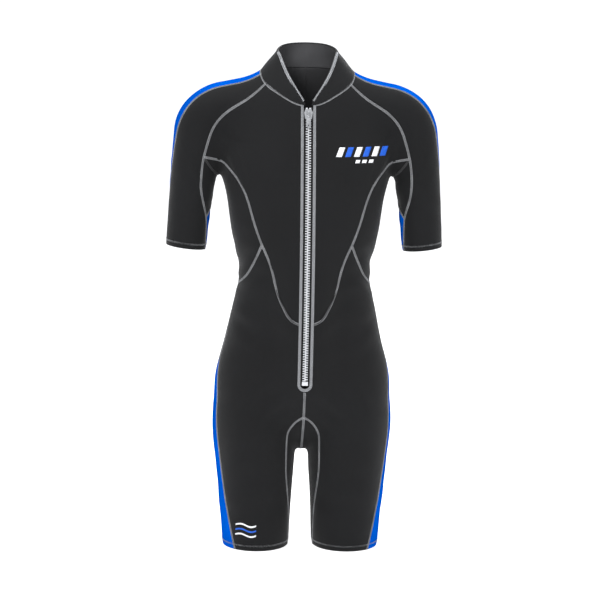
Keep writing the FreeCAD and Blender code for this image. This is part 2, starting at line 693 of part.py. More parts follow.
def back_panel(s):
    """One-piece back from collar seam to the seat seam."""
    n, m = 17, 49
    half = (m + 1) // 2
    neck = s.neck.part(half, NECK_BACK, len(NECK) - 1)
    low = s.back_princess.part(half)
    top = flip(neck) + neck[::-1][1:]
    bottom = flip(low) + low[::-1][1:]
    right = s.back_raglan.part(n, 0, BACK_RAGLAN_J)
    mid = even(Line([neck[-1]] + SPINE[1:-1] + [s.cb3], lock_x=True).dense, n)
    return slab([fill(flip(right), right, top, bottom, mid)], "back_panel")


def thigh(s, hip_line, thigh_line, centre, centre_cut, slant, leg_seam, gusset, top, mid, label):
    """Thigh panel from the waist seams to the hem, in three fields."""
    m = 15
    a1, a2, a3 = 9, 13, 19
    cut = centre.dense[centre.knots[centre_cut]]
    end = leg_seam.dense[leg_seam.knots[BLUE_CUT]]
    hip = even(Line([s.w] + hip_line[1:-1] + [cut]).dense, m)
    low = even(Line([end] + thigh_line[1:-1] + [centre.dense[-1]]).dense, m)
    hem = s.leg_edge(leg_seam, gusset, m, mid[-1])
    steer = Line(mid[:-1] + [leg_hem(mid[-1])])
    outer = even(s.hip.dense + leg_seam.dense[1:leg_seam.knots[BLUE_CUT] + 1], a2)
    g1 = fill(slant.part(a1), centre.part(a1, 0, centre_cut), top(m), hip, steer.part(a1, 0, 1))
    g2 = fill(outer, centre.part(a2, centre_cut, len(centre.knots) - 1), hip, low, steer.part(a2, 1, 2))
    g3 = fill(leg_seam.part(a3, BLUE_CUT, len(leg_seam.knots) - 1), gusset.part(a3), low, hem,
              steer.part(a3, 2, len(steer.knots) - 1))
    return slab([g1, g2, g3], label)


def thigh_front(s):
    """Front of the thigh up to the belly seam."""
    return thigh(s, HIP_LINE, THIGH_LINE, s.centre_front, CENTRE_CUT, s.slant, s.blue, s.gusset,
                 lambda m: s.princess.part(m, PRINCESS_D, len(PRINCESS) - 1), FRONT_MID, "thigh_front")


def thigh_back(s):
    """Back of the thigh and the seat."""
    return thigh(s, BACK_HIP_LINE, BACK_THIGH_LINE, s.centre_back, CENTRE_CUT, s.back_slant, s.back_blue,
                 s.back_gusset, lambda m: s.back_princess.part(m, BACK_PRINCESS_D, len(BACK_PRINCESS) - 1),
                 BACK_MID, "thigh_back")


def outer_thigh(s):
    """Blue outer thigh panel, pointed at the top."""
    n, m = 23, 7
    skip = 6
    left = even(s.blue.dense[skip:], n)
    right = even(s.back_blue.dense[skip:], n)
    top = even([left[0], settle(lerp(left[0], right[0], 0.5)), right[0]], m)
    hem = s.leg_edge(s.blue, s.back_blue, m, (153, 4, LEG_HEM_Z))
    mid = OUTER_MID[1:-1]
    return slab([fill(left, right, top, hem,
                      rail([lerp(left[0], right[0], 0.5)] + mid + [hem[m // 2]], n))], "outer_thigh")


def inner_thigh(s):
    """Gusset on the inside of the thigh."""
    n, m = 31, 9
    hem = s.leg_edge(s.gusset, s.back_gusset, m, (24, 6, LEG_HEM_Z))
    top = s.crotch.part(m)
    return slab([fill(s.gusset.part(n), s.back_gusset.part(n), top, hem,
                      rail([top[m // 2]] + INNER_MID[1:-1] + [hem[m // 2]], n))], "inner_thigh")


def sleeve_front(s):
    """Black raglan sleeve front."""
    n, m = 33, 11
    hem = s.cuff_edge(s.cuff_front, s.cuff_back, m, (234, -38, 601))
    top = s.neck.part(m, NECK_RAGLAN, NECK_SHOULDER)
    return slab([fill(s.raglan.part(n), s.shoulder.part(n), top, hem,
                      rail([top[m // 2]] + SLEEVE_MID[1:-1] + [hem[m // 2]], n))], "sleeve_front")


def shoulder_panel(s):
    """Blue panel over the shoulder and down the back of the sleeve."""
    m, a1, a2 = 15, 29, 9
    top = s.neck.part(m, NECK_SHOULDER, NECK_BACK)
    hem = s.cuff_edge(s.cuff_back, s.cuff_front, m, (233, 46, 601))
    out = s.shoulder.dense[s.shoulder.knots[SHOULDER_T]]
    cross = even(Line([out] + CUFF_LINE[1:-1] + [s.t]).dense, m)
    run = Line([top[m // 2]] + SHOULDER_MID[1:SHOULDER_MID_T] + [cross[m // 2], hem[m // 2]])
    g1 = fill(s.shoulder.part(a1, 0, SHOULDER_T), s.back_raglan.part(a1), top, cross,
              run.part(a1, 0, SHOULDER_MID_T))
    g2 = fill(s.shoulder.part(a2, SHOULDER_T, len(SHOULDER) - 1),
              s.raglan.part(a2, RAGLAN_T, len(RAGLAN) - 1), cross, hem,
              run.part(a2, SHOULDER_MID_T, SHOULDER_MID_T + 1))
    return slab([g1, g2], "shoulder_panel")


def underarm(s):
    """Gusset under the arm that runs to a point inside the sleeve."""
    n, m, stop = 17, 9, 10
    left = even(s.raglan.dense[s.raglan.knots[RAGLAN_J]:s.raglan.knots[RAGLAN_T] - stop], n)
    right = even(s.back_raglan.dense[s.back_raglan.knots[BACK_RAGLAN_J]:-stop], n)
    tip = even([left[-1], settle(lerp(left[-1], right[-1], 0.5)), right[-1]], m)
    mid = rail([s.p] + UNDERARM_MID[1:-1] + [tip[m // 2]], n)
    return slab([fill(left, right, s.armhole.part(m), tip, mid)], "underarm_panel")


def collar(s):
    """Stand-up collar band, open at the front."""
    half, n = 25, 7
    low = [p for p in s.neck.part(half) if p[0] > COLLAR_FRONT or p[1] > 0]
    front = lerp(s.neck.dense[0], low[0], COLLAR_FRONT / max(low[0][0], COLLAR_FRONT))
    low = even([front] + low, half)
    high = even(Line(COLLAR_TOP, free=True).dense, half)
    low = flip(low) + low[:-1][::-1]
    high = flip(high) + high[:-1][::-1]
    grid = []
    for i in range(n):
        v = i / (n - 1)
        row = []
        for a, b in zip(low, high):
            lift = COLLAR_GAP / max(distance(a, b), 1.0)
            row.append(lerp(a, b, lift + v * (1 - lift)))
        grid.append(row)

    def inward(p):
        away = math.hypot(p[0], p[1] - COLLAR_AXIS_Y) + 1e-6
        return [-p[0] / away, -(p[1] - COLLAR_AXIS_Y) / away, 0.0]

    return slab([grid], "collar", SKIN, inward)


# ---------------------------------------------------------------- zip
def on_arc(r, angle, x=0.0):
    """Point of the zip's arc plane, as x, y, z."""
    return V(x, ZIP_C[0] - r * math.cos(angle), ZIP_C[1] + r * math.sin(angle))


def arc_box(x0, x1, r0, r1, a0, a1):
    """Block bounded by two radii and two angles of the zip's arc."""
    mid = (a0 + a1) / 2
    outer = Part.Arc(on_arc(r1, a0, x0), on_arc(r1, mid, x0), on_arc(r1, a1, x0)).toShape()
    inner = Part.Arc(on_arc(r0, a1, x0), on_arc(r0, mid, x0), on_arc(r0, a0, x0)).toShape()
    ends = [Part.makeLine(on_arc(r1, a1, x0), on_arc(r0, a1, x0)),
            Part.makeLine(on_arc(r0, a0, x0), on_arc(r1, a0, x0))]
    wire = Part.Wire([outer, ends[0], inner, ends[1]])
    return Part.Face(wire).extrude(V(x1 - x0, 0, 0))


def slot_cutter():
    """Straight slot with a round lower end that the zip sits in."""
    low = ZIP_END[1] + SLOT_HALF
    wide = Part.makeBox(2 * SLOT_HALF, 120, 700, V(-SLOT_HALF, -150, low))
    end = Part.makeCylinder(SLOT_HALF, 120, V(0, -150, low), V(0, 1, 0))
    return wide.fuse(end).removeSplitter()


CHAIN_R = ZIP_R - TAPE_DEPTH
TOP_A, END_A = zip_angle(ZIP_TOP[1] - 4), zip_angle(ZIP_END[1] + 6)
STEP_A = TOOTH_PITCH / CHAIN_R
SLIDER_TOP_A = TOP_A - 3.5 / CHAIN_R
SLIDER_LOW_A = SLIDER_TOP_A - SLIDER_LONG / CHAIN_R
STOP_TOP_A = END_A + 9.0 / CHAIN_R


def zip_tape():
    """Woven tape that carries one row of teeth."""
    r0, r1 = CHAIN_R - TAPE_THICK / 2, CHAIN_R + TAPE_THICK / 2
    return arc_box(TAPE_IN, TAPE_OUT, r0, r1, END_A - 0.001, TOP_A)


def tape_room(x0, x1, a0, a1):
    """Room for the tape inside a tooth or a stop."""
    half = TAPE_THICK / 2 + TOOTH_SEAT
    return arc_box(x0, x1, CHAIN_R - half, CHAIN_R + half, a0, a1)


def tooth(angle):
    """One moulded tooth of the wearer's left row."""
    half = TOOTH_LONG / 2 / CHAIN_R
    body = arc_box(TOOTH_TIP, TOOTH_ROOT, CHAIN_R - TOOTH_HALF_HIGH, CHAIN_R + TOOTH_HALF_HIGH,
                   angle - half, angle + half)
    return body.cut(tape_room(TAPE_IN, TOOTH_ROOT, angle - 2 * half, angle + 2 * half))


def tooth_row(offset):
    """A whole row of separate teeth below the slider."""
    teeth, a = [], SLIDER_TOP_A - (SLIDER_MOUTH + offset * TOOTH_PITCH) / CHAIN_R
    while a > STOP_TOP_A + 2.0 / CHAIN_R:
        teeth.append(tooth(a))
        a -= STEP_A
    return Part.makeCompound(teeth)


def bottom_stop():
    """Box clamped over both tapes at the foot of the zip."""
    half = TOOTH_ROOT + STOP_SIDE
    body = arc_box(-half, half, CHAIN_R - STOP_HALF_HIGH, CHAIN_R + STOP_HALF_HIGH,
                   STOP_TOP_A - STOP_LONG / CHAIN_R, STOP_TOP_A)
    past = 2 * STOP_LONG / CHAIN_R
    for side in (1, -1):
        x0, x1 = sorted((side * (TAPE_IN - TOOTH_SEAT), side * TAPE_OUT))
        body = body.cut(tape_room(x0, x1, STOP_TOP_A - past, STOP_TOP_A + past))
    return body


def top_stops():
    """Small clip at the top of each tape."""
    a1 = TOP_A - 0.3 / CHAIN_R
    long = CLIP_LONG / CHAIN_R
    clips = []
    for side in (1, -1):
        x0, x1 = sorted((side * (TAPE_IN - 0.9), side * TOOTH_ROOT))
        clip = arc_box(x0, x1, CHAIN_R - TOOTH_HALF_HIGH, CHAIN_R + TOOTH_HALF_HIGH, a1 - long, a1)
        x0, x1 = sorted((side * TAPE_IN, side * TAPE_OUT))
        clips.append(clip.cut(tape_room(x0, x1, a1 - 2 * long, a1 + long)))
    return Part.makeCompound(clips)


def slider_local(shape):
    """Place a slider piece: x across, y outwards from the chain, z up the zip."""
    mid = (SLIDER_TOP_A + SLIDER_LOW_A) / 2
    place = FreeCAD.Placement(on_arc(CHAIN_R, mid), FreeCAD.Rotation(V(1, 0, 0), math.degrees(-mid)))
    out = shape.copy()
    out.Placement = place
    return out


PLATE_IN = TOOTH_HALF_HIGH + SLIDER_GAP


def plate_outline(y):
    """Slider plate seen from the front, wide at the top."""
    half, top, low = SLIDER_LONG / 2, SLIDER_HALF_W, SLIDER_HALF_W - SLIDER_TAPER
    brow = top - WEDGE_HALF
    pts = [V(-low, y, -half), V(low, y, -half), V(top, y, half * 0.35), V(brow, y, half),
           V(-brow, y, half), V(-top, y, half * 0.35)]
    return Part.Face(Part.makePolygon(pts + [pts[0]]))


def slider_body():
    """Two plates joined by a wedge at the top, with guide flanges."""
    half = SLIDER_LONG / 2
    front = plate_outline(-PLATE_IN - SLIDER_WALL).extrude(V(0, SLIDER_WALL, 0))
    back = plate_outline(PLATE_IN).extrude(V(0, SLIDER_WALL, 0))
    wedge_pts = [V(0, -PLATE_IN, half - WEDGE_LONG), V(WEDGE_HALF, -PLATE_IN, half - 1.5),
                 V(0, -PLATE_IN, half - 0.4), V(-WEDGE_HALF, -PLATE_IN, half - 1.5)]
    wedge = Part.Face(Part.makePolygon(wedge_pts + [wedge_pts[0]])).extrude(V(0, 2 * PLATE_IN, 0))
    body = front.fuse([back, wedge])
    rim = PLATE_IN - TAPE_THICK / 2 - 0.45
    for side in (1, -1):
        for y0 in (-PLATE_IN, PLATE_IN - rim):
            x0 = side * (TOOTH_ROOT + 0.5)
            x_low = min(x0, x0 + side * FLANGE_WALL)
            wall = Part.makeBox(FLANGE_WALL, rim, SLIDER_LONG * 0.86, V(x_low, y0, -half))
            body = body.fuse(wall)
    return slider_local(body.removeSplitter())


def slider_bail():
    """Bridge on the front plate that the tab hangs from."""
    y0 = -PLATE_IN - SLIDER_WALL
    w = BAIL_W
    outer = Part.makeBox(w, BAIL_RISE - BAIL_SEAT, 2 * BAIL_FOOT, V(-w / 2, y0 - BAIL_RISE, -BAIL_FOOT))
    inner = Part.makeBox(w + 2, BAIL_RISE - BAIL_WIRE, 2 * BAIL_FOOT - 2 * BAIL_WIRE,
                         V(-w / 2 - 1, y0 - BAIL_RISE + BAIL_WIRE, -BAIL_FOOT + BAIL_WIRE))
    arch = outer.cut(inner)
    edges = [e for e in arch.Edges if abs(e.BoundBox.YLength) < 1e-6 and abs(e.BoundBox.ZLength) < 1e-6
             and abs(e.BoundBox.YMin - (y0 - BAIL_RISE)) < 1e-6]
    return slider_local(arch.makeFillet(0.8 * BAIL_WIRE, edges))


TAB_PIN_Z = -BAIL_FOOT + BAIL_WIRE + 1.0
TAB_PIN_Y = -PLATE_IN - SLIDER_WALL - (BAIL_RISE - BAIL_WIRE) / 2


def pull_tab():
    """Flat tab with a ring end round the bridge and a hole low down."""
    half_t, side = TAB_THICK / 2, 0.8
    y, z = TAB_PIN_Y, TAB_PIN_Z
    foot = z - TAB_LONG + 0.6
    plate = Part.makeBox(TAB_W, TAB_THICK, TAB_LONG - TAB_RING, V(-TAB_W / 2, y - half_t, foot))
    lugs = [Part.makeBox(TAB_EYE_WALL, TAB_THICK, TAB_RING + 0.6, V(x, y - half_t, z - TAB_RING))
            for x in (side - TAB_W / 2, TAB_W / 2 - side - TAB_EYE_WALL)]
    bar = Part.makeCylinder(TAB_BAR_R, TAB_W - 2 * side, V(side - TAB_W / 2, y, z), V(1, 0, 0))
    eye = V(0, y - half_t - 1, foot + TAB_HOLE_UP)
    hole = Part.makeCylinder(TAB_HOLE_R, TAB_THICK + 2, eye, V(0, 1, 0))
    corner = [e for e in plate.Edges if e.BoundBox.XLength < 1e-6 and e.BoundBox.ZLength < 1e-6
              and e.BoundBox.ZMax < foot + 0.4]
    rounded = plate.makeFillet(TAB_ROUND, corner)
    body = rounded.fuse(lugs + [bar]).removeSplitter().cut(hole)
    return slider_local(body)


# ---------------------------------------------------------------- build
def save(name, shape):
    """Write one node as a STEP file with the origin at the neck."""
    out = shape.copy()
    out.translate(V(0, 0, -NECK_Z))
    os.makedirs("parts", exist_ok=True)
    out.exportStep(os.path.join("parts", name + ".step"))


def save_pair(name, shape):
    """Write the left and the right piece."""
    save(name + "_left", shape)
    save(name + "_right", mirrored(shape))


def main():
    """Build and write every node."""
    s = Seams()
    cutter = slot_cutter()
    save_pair("front_panel", front_panel(s).cut(cutter))
    save_pair("thigh_front", thigh_front(s).cut(cutter))
    for name, make in (("side_panel", side_panel), ("side_back_panel", side_back_panel),
                       ("thigh_back", thigh_back), ("outer_thigh", outer_thigh),
                       ("inner_thigh", inner_thigh), ("sleeve_front", sleeve_front),
                       ("shoulder_panel", shoulder_panel), ("underarm_panel", underarm)):
        save_pair(name, make(s))
    save("back_panel", back_panel(s))
    save("collar", collar(s))
    save_pair("zipper_tape", zip_tape())
    save("zipper_teeth_left", tooth_row(0.0))
    save("zipper_teeth_right", mirrored(tooth_row(0.5)))
    save("zipper_bottom_stop", bottom_stop())
    save("zipper_top_stops", top_stops())
    save("slider_body", slider_body())
    save("slider_bail", slider_bail())
    save("pull_tab", pull_tab())


main()
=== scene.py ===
"""Looks for a front-zip shorty wetsuit cut from 2 mm neoprene panels.

The cloth panels, seams, stitching, collar and printed marks are built here on
the same worn shape that the frame follows.  The zip keeps its frame nodes.
Lengths inside the classes are millimetres, with heights from the leg hems;
``to_frame`` turns them into the frame's metres.
"""
from __future__ import annotations

import logging
import math
from dataclasses import dataclass
from enum import Enum
from typing import Callable, Optional, Sequence

import bmesh
import bpy
import numpy as np
from mathutils import Matrix, Vector

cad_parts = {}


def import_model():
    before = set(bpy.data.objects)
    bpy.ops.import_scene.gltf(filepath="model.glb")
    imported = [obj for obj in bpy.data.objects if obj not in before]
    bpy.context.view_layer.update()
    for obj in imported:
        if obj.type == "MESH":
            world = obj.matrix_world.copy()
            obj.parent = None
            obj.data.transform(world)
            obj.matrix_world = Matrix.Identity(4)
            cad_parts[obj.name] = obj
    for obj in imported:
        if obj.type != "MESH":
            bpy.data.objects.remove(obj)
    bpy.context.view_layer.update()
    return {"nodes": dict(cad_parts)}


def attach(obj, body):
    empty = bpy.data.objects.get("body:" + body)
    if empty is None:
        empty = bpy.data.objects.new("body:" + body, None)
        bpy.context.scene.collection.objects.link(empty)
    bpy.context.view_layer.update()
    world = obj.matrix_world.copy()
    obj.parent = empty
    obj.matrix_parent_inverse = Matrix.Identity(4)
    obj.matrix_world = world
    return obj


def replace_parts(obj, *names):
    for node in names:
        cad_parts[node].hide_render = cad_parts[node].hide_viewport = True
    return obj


LOG = logging.getLogger("shorty")
Points = np.ndarray
Outline = Callable[[float, float], tuple[float, float]]

NECK_Z = 930.0
SKIN = 2.0
LEG_HEM_Z = 8.0
CUFF_IN = (193.0, 597.0)
CUFF_OUT = (270.0, 606.0)
ZIP_TOP = (-66.0, 884.0)
ZIP_END = (-95.0, 336.0)
ZIP_R = 1110.0
SLOT_HALF = 9.5
SLOT_REACH = 42.0
COLLAR_FRONT = 6.5
HEM_LINE_UP = 10.0

TORSO = [
    (225, 22, -16, 40, 2.0), (258, 90, -58, 84, 2.1), (300, 138, -82, 110, 2.3),
    (350, 158, -91, 122, 2.4), (420, 149, -95, 112, 2.4), (500, 135, -101, 92, 2.3),
    (565, 128, -106, 84, 2.2), (625, 141, -110, 90, 2.2), (690, 151, -111, 100, 2.3),
    (740, 160, -107, 106, 2.4), (790, 164, -96, 106, 2.4), (840, 150, -79, 98, 2.3),
    (880, 116, -64, 85, 2.1), (910, 86, -57, 74, 2.0), (945, 68, -54, 64, 2.0),
    (1010, 62, -52, 60, 2.0),
]
LEG = [
    (-30, 89, 4, 63, 73), (25, 89, 4, 66, 77), (104, 90.5, 5, 72, 84),
    (198, 92, 6, 80, 93), (250, 92, 8, 84, 98), (300, 90, 10, 84, 100),
    (350, 86, 10, 78, 92), (420, 78, 8, 60, 74), (500, 70, 5, 42, 50),
    (560, 60, 0, 15, 20),
]
ARM_START = (70.0, 888.0)
ARM_RUN, ARM_BEND_R = 90.7, 60.0
ARM_SLOPE_0, ARM_SLOPE_1 = math.radians(7), math.radians(85)
ARM = [
    (0, 53, 60, 12), (60, 48, 57, 11), (90, 46, 56, 10), (130, 46, 56, 9),
    (172, 45.5, 55, 8), (220, 44.5, 53, 7), (300, 42, 49, 4), (430, 38, 44, 2),
]
BLEND_LEGS, BLEND_HIP = 24.0, 40.0
BLEND_ARMPIT, BLEND_SHOULDER = 30.0, 62.0
SHOULDER_LOW, SHOULDER_HIGH = 738.0, 820.0
WAIST_Z = 560.0
CROTCH_CORE, CROTCH_PULL = 16.0, 1.2
ZIP_FLAT, ZIP_FADE = 22.0, 75.0
ZIP_FADE_LOW, ZIP_FADE_HIGH = 280.0, 330.0
FRONT_Y = -20.0
PROBE, LONGEST_STEP = 0.4, 12.0
LEG_MID, ARM_MID = (89.0, 4.0), (232.0, 2.0)


def natural_spline(ts: Points, ys: Points, at: Points) -> Points:
    """Smooth curve through values.

    Args:
        ts: Increasing positions of the given values.
        ys: Values, one row per position.
        at: Positions to read.

    Returns:
        One row of values per position read.
    """
    n = len(ts)
    h = np.diff(ts)
    system = np.eye(n)
    rhs = np.zeros((n, ys.shape[1]))
    for i in range(1, n - 1):
        system[i, i - 1:i + 2] = (h[i - 1], 2 * (h[i - 1] + h[i]), h[i])
        rhs[i] = 6 * ((ys[i + 1] - ys[i]) / h[i] - (ys[i] - ys[i - 1]) / h[i - 1])
    bend = np.linalg.solve(system, rhs)
    k = np.clip(np.searchsorted(ts, at, side="right") - 1, 0, n - 2)
    hk = h[k][:, None]
    a = (ts[k + 1] - at)[:, None] / hk
    b = (at - ts[k])[:, None] / hk
    curve = ((a ** 3 - a) * bend[k] + (b ** 3 - b) * bend[k + 1]) * hk ** 2 / 6
    return a * ys[k] + b * ys[k + 1] + curve


class Sections:
    """Section sizes against distance, read from a fine table."""

    def __init__(self, rows: Sequence[tuple]) -> None:
        data = np.array(rows, float)
        self.low = data[0, 0]
        self.at_mm = np.arange(data[0, 0], data[-1, 0] + 1.0)
        self.values = natural_spline(data[:, 0], data[:, 1:], self.at_mm)

    def read(self, t: Points) -> list[Points]:
        """One array per column at the given distances."""
        return [np.interp(t, self.at_mm, self.values[:, c]) for c in range(self.values.shape[1])]


def ease(t: Points) -> Points:
    """Soft step from 0 to 1."""
    t = np.clip(t, 0, 1)
    return t * t * (3 - 2 * t)


def smooth_min(a: Points, b: Points, k) -> Points:
    """Join two distances with a fillet about k wide."""
    h = np.maximum(k - np.abs(a - b), 0.0) / k
    return np.minimum(a, b) - h * h * k / 4


class WornForm:
    """The filled-out shape that every panel lies on."""

    def __init__(self) -> None:
        self.torso, self.leg, self.arm = Sections(TORSO), Sections(LEG), Sections(ARM)
        self.d0 = (math.cos(ARM_SLOPE_0), -math.sin(ARM_SLOPE_0))
        self.d1 = (math.cos(ARM_SLOPE_1), -math.sin(ARM_SLOPE_1))
        p1 = (ARM_START[0] + ARM_RUN * self.d0[0], ARM_START[1] + ARM_RUN * self.d0[1])
        self.c = (p1[0] + ARM_BEND_R * self.d0[1], p1[1] - ARM_BEND_R * self.d0[0])
        self.p2 = (self.c[0] - ARM_BEND_R * self.d1[1], self.c[1] + ARM_BEND_R * self.d1[0])
        (y0, z0), (y1, z1) = ZIP_TOP, ZIP_END
        half = math.hypot(y1 - y0, z1 - z0) / 2
        away = math.sqrt(ZIP_R ** 2 - half ** 2)
        uy, uz = (y1 - y0) / (2 * half), (z1 - z0) / (2 * half)
        self.zip_c = ((y0 + y1) / 2 - uz * away, (z0 + z1) / 2 + uy * away)
        self.shift_z = np.arange(270.0, 895.0, 2.0)
        guess = np.column_stack([0 * self.shift_z, self.zip_y(self.shift_z), self.shift_z])
        plain = self.settle(guess, (True, False, True))
        self.shift = self.zip_y(self.shift_z) - plain[:, 1]

    def zip_y(self, z: Points) -> Points:
        """y of the zip line on the outer face."""
        return self.zip_c[0] - np.sqrt(ZIP_R ** 2 - (z - self.zip_c[1]) ** 2)

    def _trunk(self, x: Points, y: Points, z: Points) -> Points:
        a, front, back, n = self.torso.read(z)
        y0, b = (front + back) / 2, (back - front) / 2
        r = np.hypot(x, y - y0) + 1e-9
        rho = ((np.abs(x) / a) ** n + (np.abs(y - y0) / b) ** n) ** (1 / n) + 1e-9
        below = np.maximum(self.torso.low - z, 0.0)
        keep = r * r / (r * r + np.minimum(below, CROTCH_CORE) ** 2)
        return r - keep * r / rho - (1 - keep) * np.minimum(a, b) + CROTCH_PULL * below

    def _thigh(self, x: Points, y: Points, z: Points) -> Points:
        xc, yc, a, b = self.leg.read(z)
        r = np.hypot(x - xc, y - yc) + 1e-9
        rho = np.hypot((x - xc) / a, (y - yc) / b) + 1e-9
        return r * (1 - 1 / rho)

    def _sleeve(self, x: Points, y: Points, z: Points) -> Points:
        (sx, sz), (px, pz), (cx, cz) = ARM_START, self.p2, self.c
        s2 = (x - px) * self.d1[0] + (z - pz) * self.d1[1]
        s0 = (x - sx) * self.d0[0] + (z - sz) * self.d0[1]
        turn = np.clip(np.arctan2(x - cx, z - cz) - ARM_SLOPE_0, 0.0, ARM_SLOPE_1 - ARM_SLOPE_0)
        lower = (s2 > 0) & (z < pz + 20)
        before = ~lower & (s0 < 0)
        level = ~lower & ~before & (s0 < ARM_RUN)
        arc = ARM_BEND_R * (ARM_SLOPE_1 - ARM_SLOPE_0)
        s = np.where(lower, ARM_RUN + arc + s2, ARM_RUN + ARM_BEND_R * turn)
        s = np.where(before, 0.0, np.where(level, s0, s))
        d_low = np.abs((x - px) * self.d1[1] - (z - pz) * self.d1[0])
        d_arc = np.abs(np.hypot(x - cx, z - cz) - ARM_BEND_R)
        d_lev = np.abs((x - sx) * self.d0[1] - (z - sz) * self.d0[0])
        d_cap = np.hypot(x - sx, z - sz)
        d = np.where(lower, d_low, np.where(before, d_cap, np.where(level, d_lev, d_arc)))
        a, b, yc = self.arm.read(s)
        r = np.hypot(d, y - yc) + 1e-9
        rho = np.hypot(d / a, (y - yc) / b) + 1e-9
        return r * (1 - 1 / rho)

    def distance(self, p: Points) -> Points:
        """Distance outside the worn shape for rows of points."""
        x, y, z = p[:, 0], p[:, 1], p[:, 2]
        f = self._trunk(x, y, z)
        legs = smooth_min(self._thigh(x, y, z), self._thigh(-x, y, z), BLEND_LEGS)
        with_legs = smooth_min(f, legs, BLEND_HIP)
        up = ease((z - SHOULDER_LOW) / (SHOULDER_HIGH - SHOULDER_LOW))
        k = BLEND_ARMPIT + (BLEND_SHOULDER - BLEND_ARMPIT) * up
        with_arms = smooth_min(f, self._sleeve(np.abs(x), y, z), k)
        return np.where(z < WAIST_Z, with_legs, np.where(z > WAIST_Z, with_arms, f))

    def gradient(self, p: Points) -> tuple[Points, Points]:
        """Growth of the distance along each axis, and the distance."""
        f = self.distance(p)
        g = np.empty_like(p)
        for c in range(3):
            q = p.copy()
            q[:, c] += PROBE
            g[:, c] = (self.distance(q) - f) / PROBE
        return g, f

    def normal(self, p: Points) -> Points:
        """Unit vectors that point out of the suit."""
        return unit(self.gradient(p)[0])

    def settle(self, p: Points, lock: tuple = (False, False, False), rounds: int = 6) -> Points:
        """Move points onto the shape, keeping any locked coordinate."""
        p = np.array(p, float)
        keep = np.array([0.0 if k else 1.0 for k in lock])
        for _ in range(rounds):
            g, f = self.gradient(p)
            g = g * keep
            gg = (g * g).sum(1) + 1e-12
            step = np.minimum(np.abs(f) / np.sqrt(gg), LONGEST_STEP) * np.sign(f) / np.sqrt(gg)
            p = p - step[:, None] * g
        return p

    def fit(self, p: Points) -> Points:
        """Ease settled points near the front centre onto the zip's arc."""
        x, y, z = p[:, 0], p[:, 1], p[:, 2]
        ax = np.abs(x)
        out_of_flat = np.clip((ax - ZIP_FLAT) / (ZIP_FADE - ZIP_FLAT), 0, 1)
        fade = 0.5 + 0.5 * np.cos(np.pi * out_of_flat)
        up = ease((z - ZIP_FADE_LOW) / (ZIP_FADE_HIGH - ZIP_FADE_LOW))
        shift = np.interp(np.minimum(z, ZIP_TOP[1] + 6), self.shift_z, self.shift)
        out = p.copy()
        out[:, 1] += np.where((y > FRONT_Y) | (ax > ZIP_FADE), 0.0, shift * fade * up)
        return out

    def on_suit(self, p: Points) -> Points:
        """Settle points and ease them onto the zip line."""
        return self.fit(self.settle(p))

    def slotted(self, p: Points) -> Points:
        """Points drawn clear of the zip slot and laid back on the suit."""
        drawn = open_slot(p)
        moved = np.abs(drawn[:, :1] - p[:, :1]) > 1e-6
        return np.where(moved, self.fit(self.settle(drawn, (True, False, True), 4)), drawn)


def open_slot(p: Points) -> Points:
    """Draw the front edges back from the centre so the zip has its slot."""
    x, y, z = p[:, 0], p[:, 1], p[:, 2]
    low = ZIP_END[1] + SLOT_HALF
    drop = np.clip(low - z, 0, SLOT_HALF)
    wide = np.where(z > ZIP_END[1], np.sqrt(np.maximum(SLOT_HALF ** 2 - drop ** 2, 0.0)), 0.0)
    side = -1.0 if x.mean() < 0 else 1.0
    ax = np.maximum(side * x, 0.0)
    near = (ax < SLOT_REACH) & (y < 0)
    out = p.copy()
    out[:, 0] = np.where(near, side * (wide + ax * (SLOT_REACH - wide) / SLOT_REACH), x)
    return out


def to_frame(p: Points) -> Points:
    """Millimetres above the hems to the frame's metres."""
    return (np.asarray(p, float) - (0.0, 0.0, NECK_Z)) / 1000.0


def mirror(p: Points) -> Points:
    """The same points on the wearer's other side."""
    return np.asarray(p, float) * (-1.0, 1.0, 1.0)


def unit(rows: Points) -> Points:
    """Rows of vectors brought to length one."""
    return rows / (np.linalg.norm(rows, axis=-1, keepdims=True) + 1e-12)


def along_run(run: Points) -> Points:
    """Distance of every point of a run from its start."""
    return np.r_[0.0, np.cumsum(np.linalg.norm(np.diff(run, axis=0), axis=1))]


def run_direction(run: Points, closed: bool = False) -> Points:
    """Steps along a run at every point, not yet brought to length one."""
    if closed:
        return np.roll(run, -1, 0) - np.roll(run, 1, 0)
    return np.gradient(run, axis=0)


def even(run: Points, count: int) -> Points:
    """Resample a run of points at equal distances."""
    run = np.asarray(run, float)
    s = along_run(run)
    want = np.linspace(0, s[-1], count)
    return np.column_stack([np.interp(want, s, run[:, c]) for c in range(3)])


def run_length(run: Points) -> float:
    """Length of a run of points."""
    return float(np.linalg.norm(np.diff(run, axis=0), axis=1).sum())


class SeamLine:
    """A smooth line on the suit, steered by a few points."""

    FINE = 30

    def __init__(self, points: Sequence, place: Callable[[Points], Points]) -> None:
        ctrl = place(np.array(points, float))
        ts = np.r_[0.0, np.cumsum(np.maximum(np.linalg.norm(np.diff(ctrl, axis=0), axis=1), 0.01))]
        cuts = [np.linspace(a, b, self.FINE, endpoint=False) for a, b in zip(ts, ts[1:])]
        at = np.r_[np.concatenate(cuts), ts[-1]]
        self.dense = place(natural_spline(ts, ctrl, at))

    def knot(self, k: int) -> Points:
        """The line's point at one of its steering points."""
        return self.dense[k * self.FINE if k >= 0 else -1]

    def run(self, first: int = 0, last: Optional[int] = None) -> Points:
        """All fine points between two steering points."""
        a = first * self.FINE
        b = len(self.dense) - 1 if last is None else last * self.FINE
        return self.dense[a:b + 1] if a < b else self.dense[b:a + 1][::-1]

    def part(self, count: int, first: int = 0, last: Optional[int] = None) -> Points:
        """Evenly spaced points between two steering points."""
        return even(self.run(first, last), count)


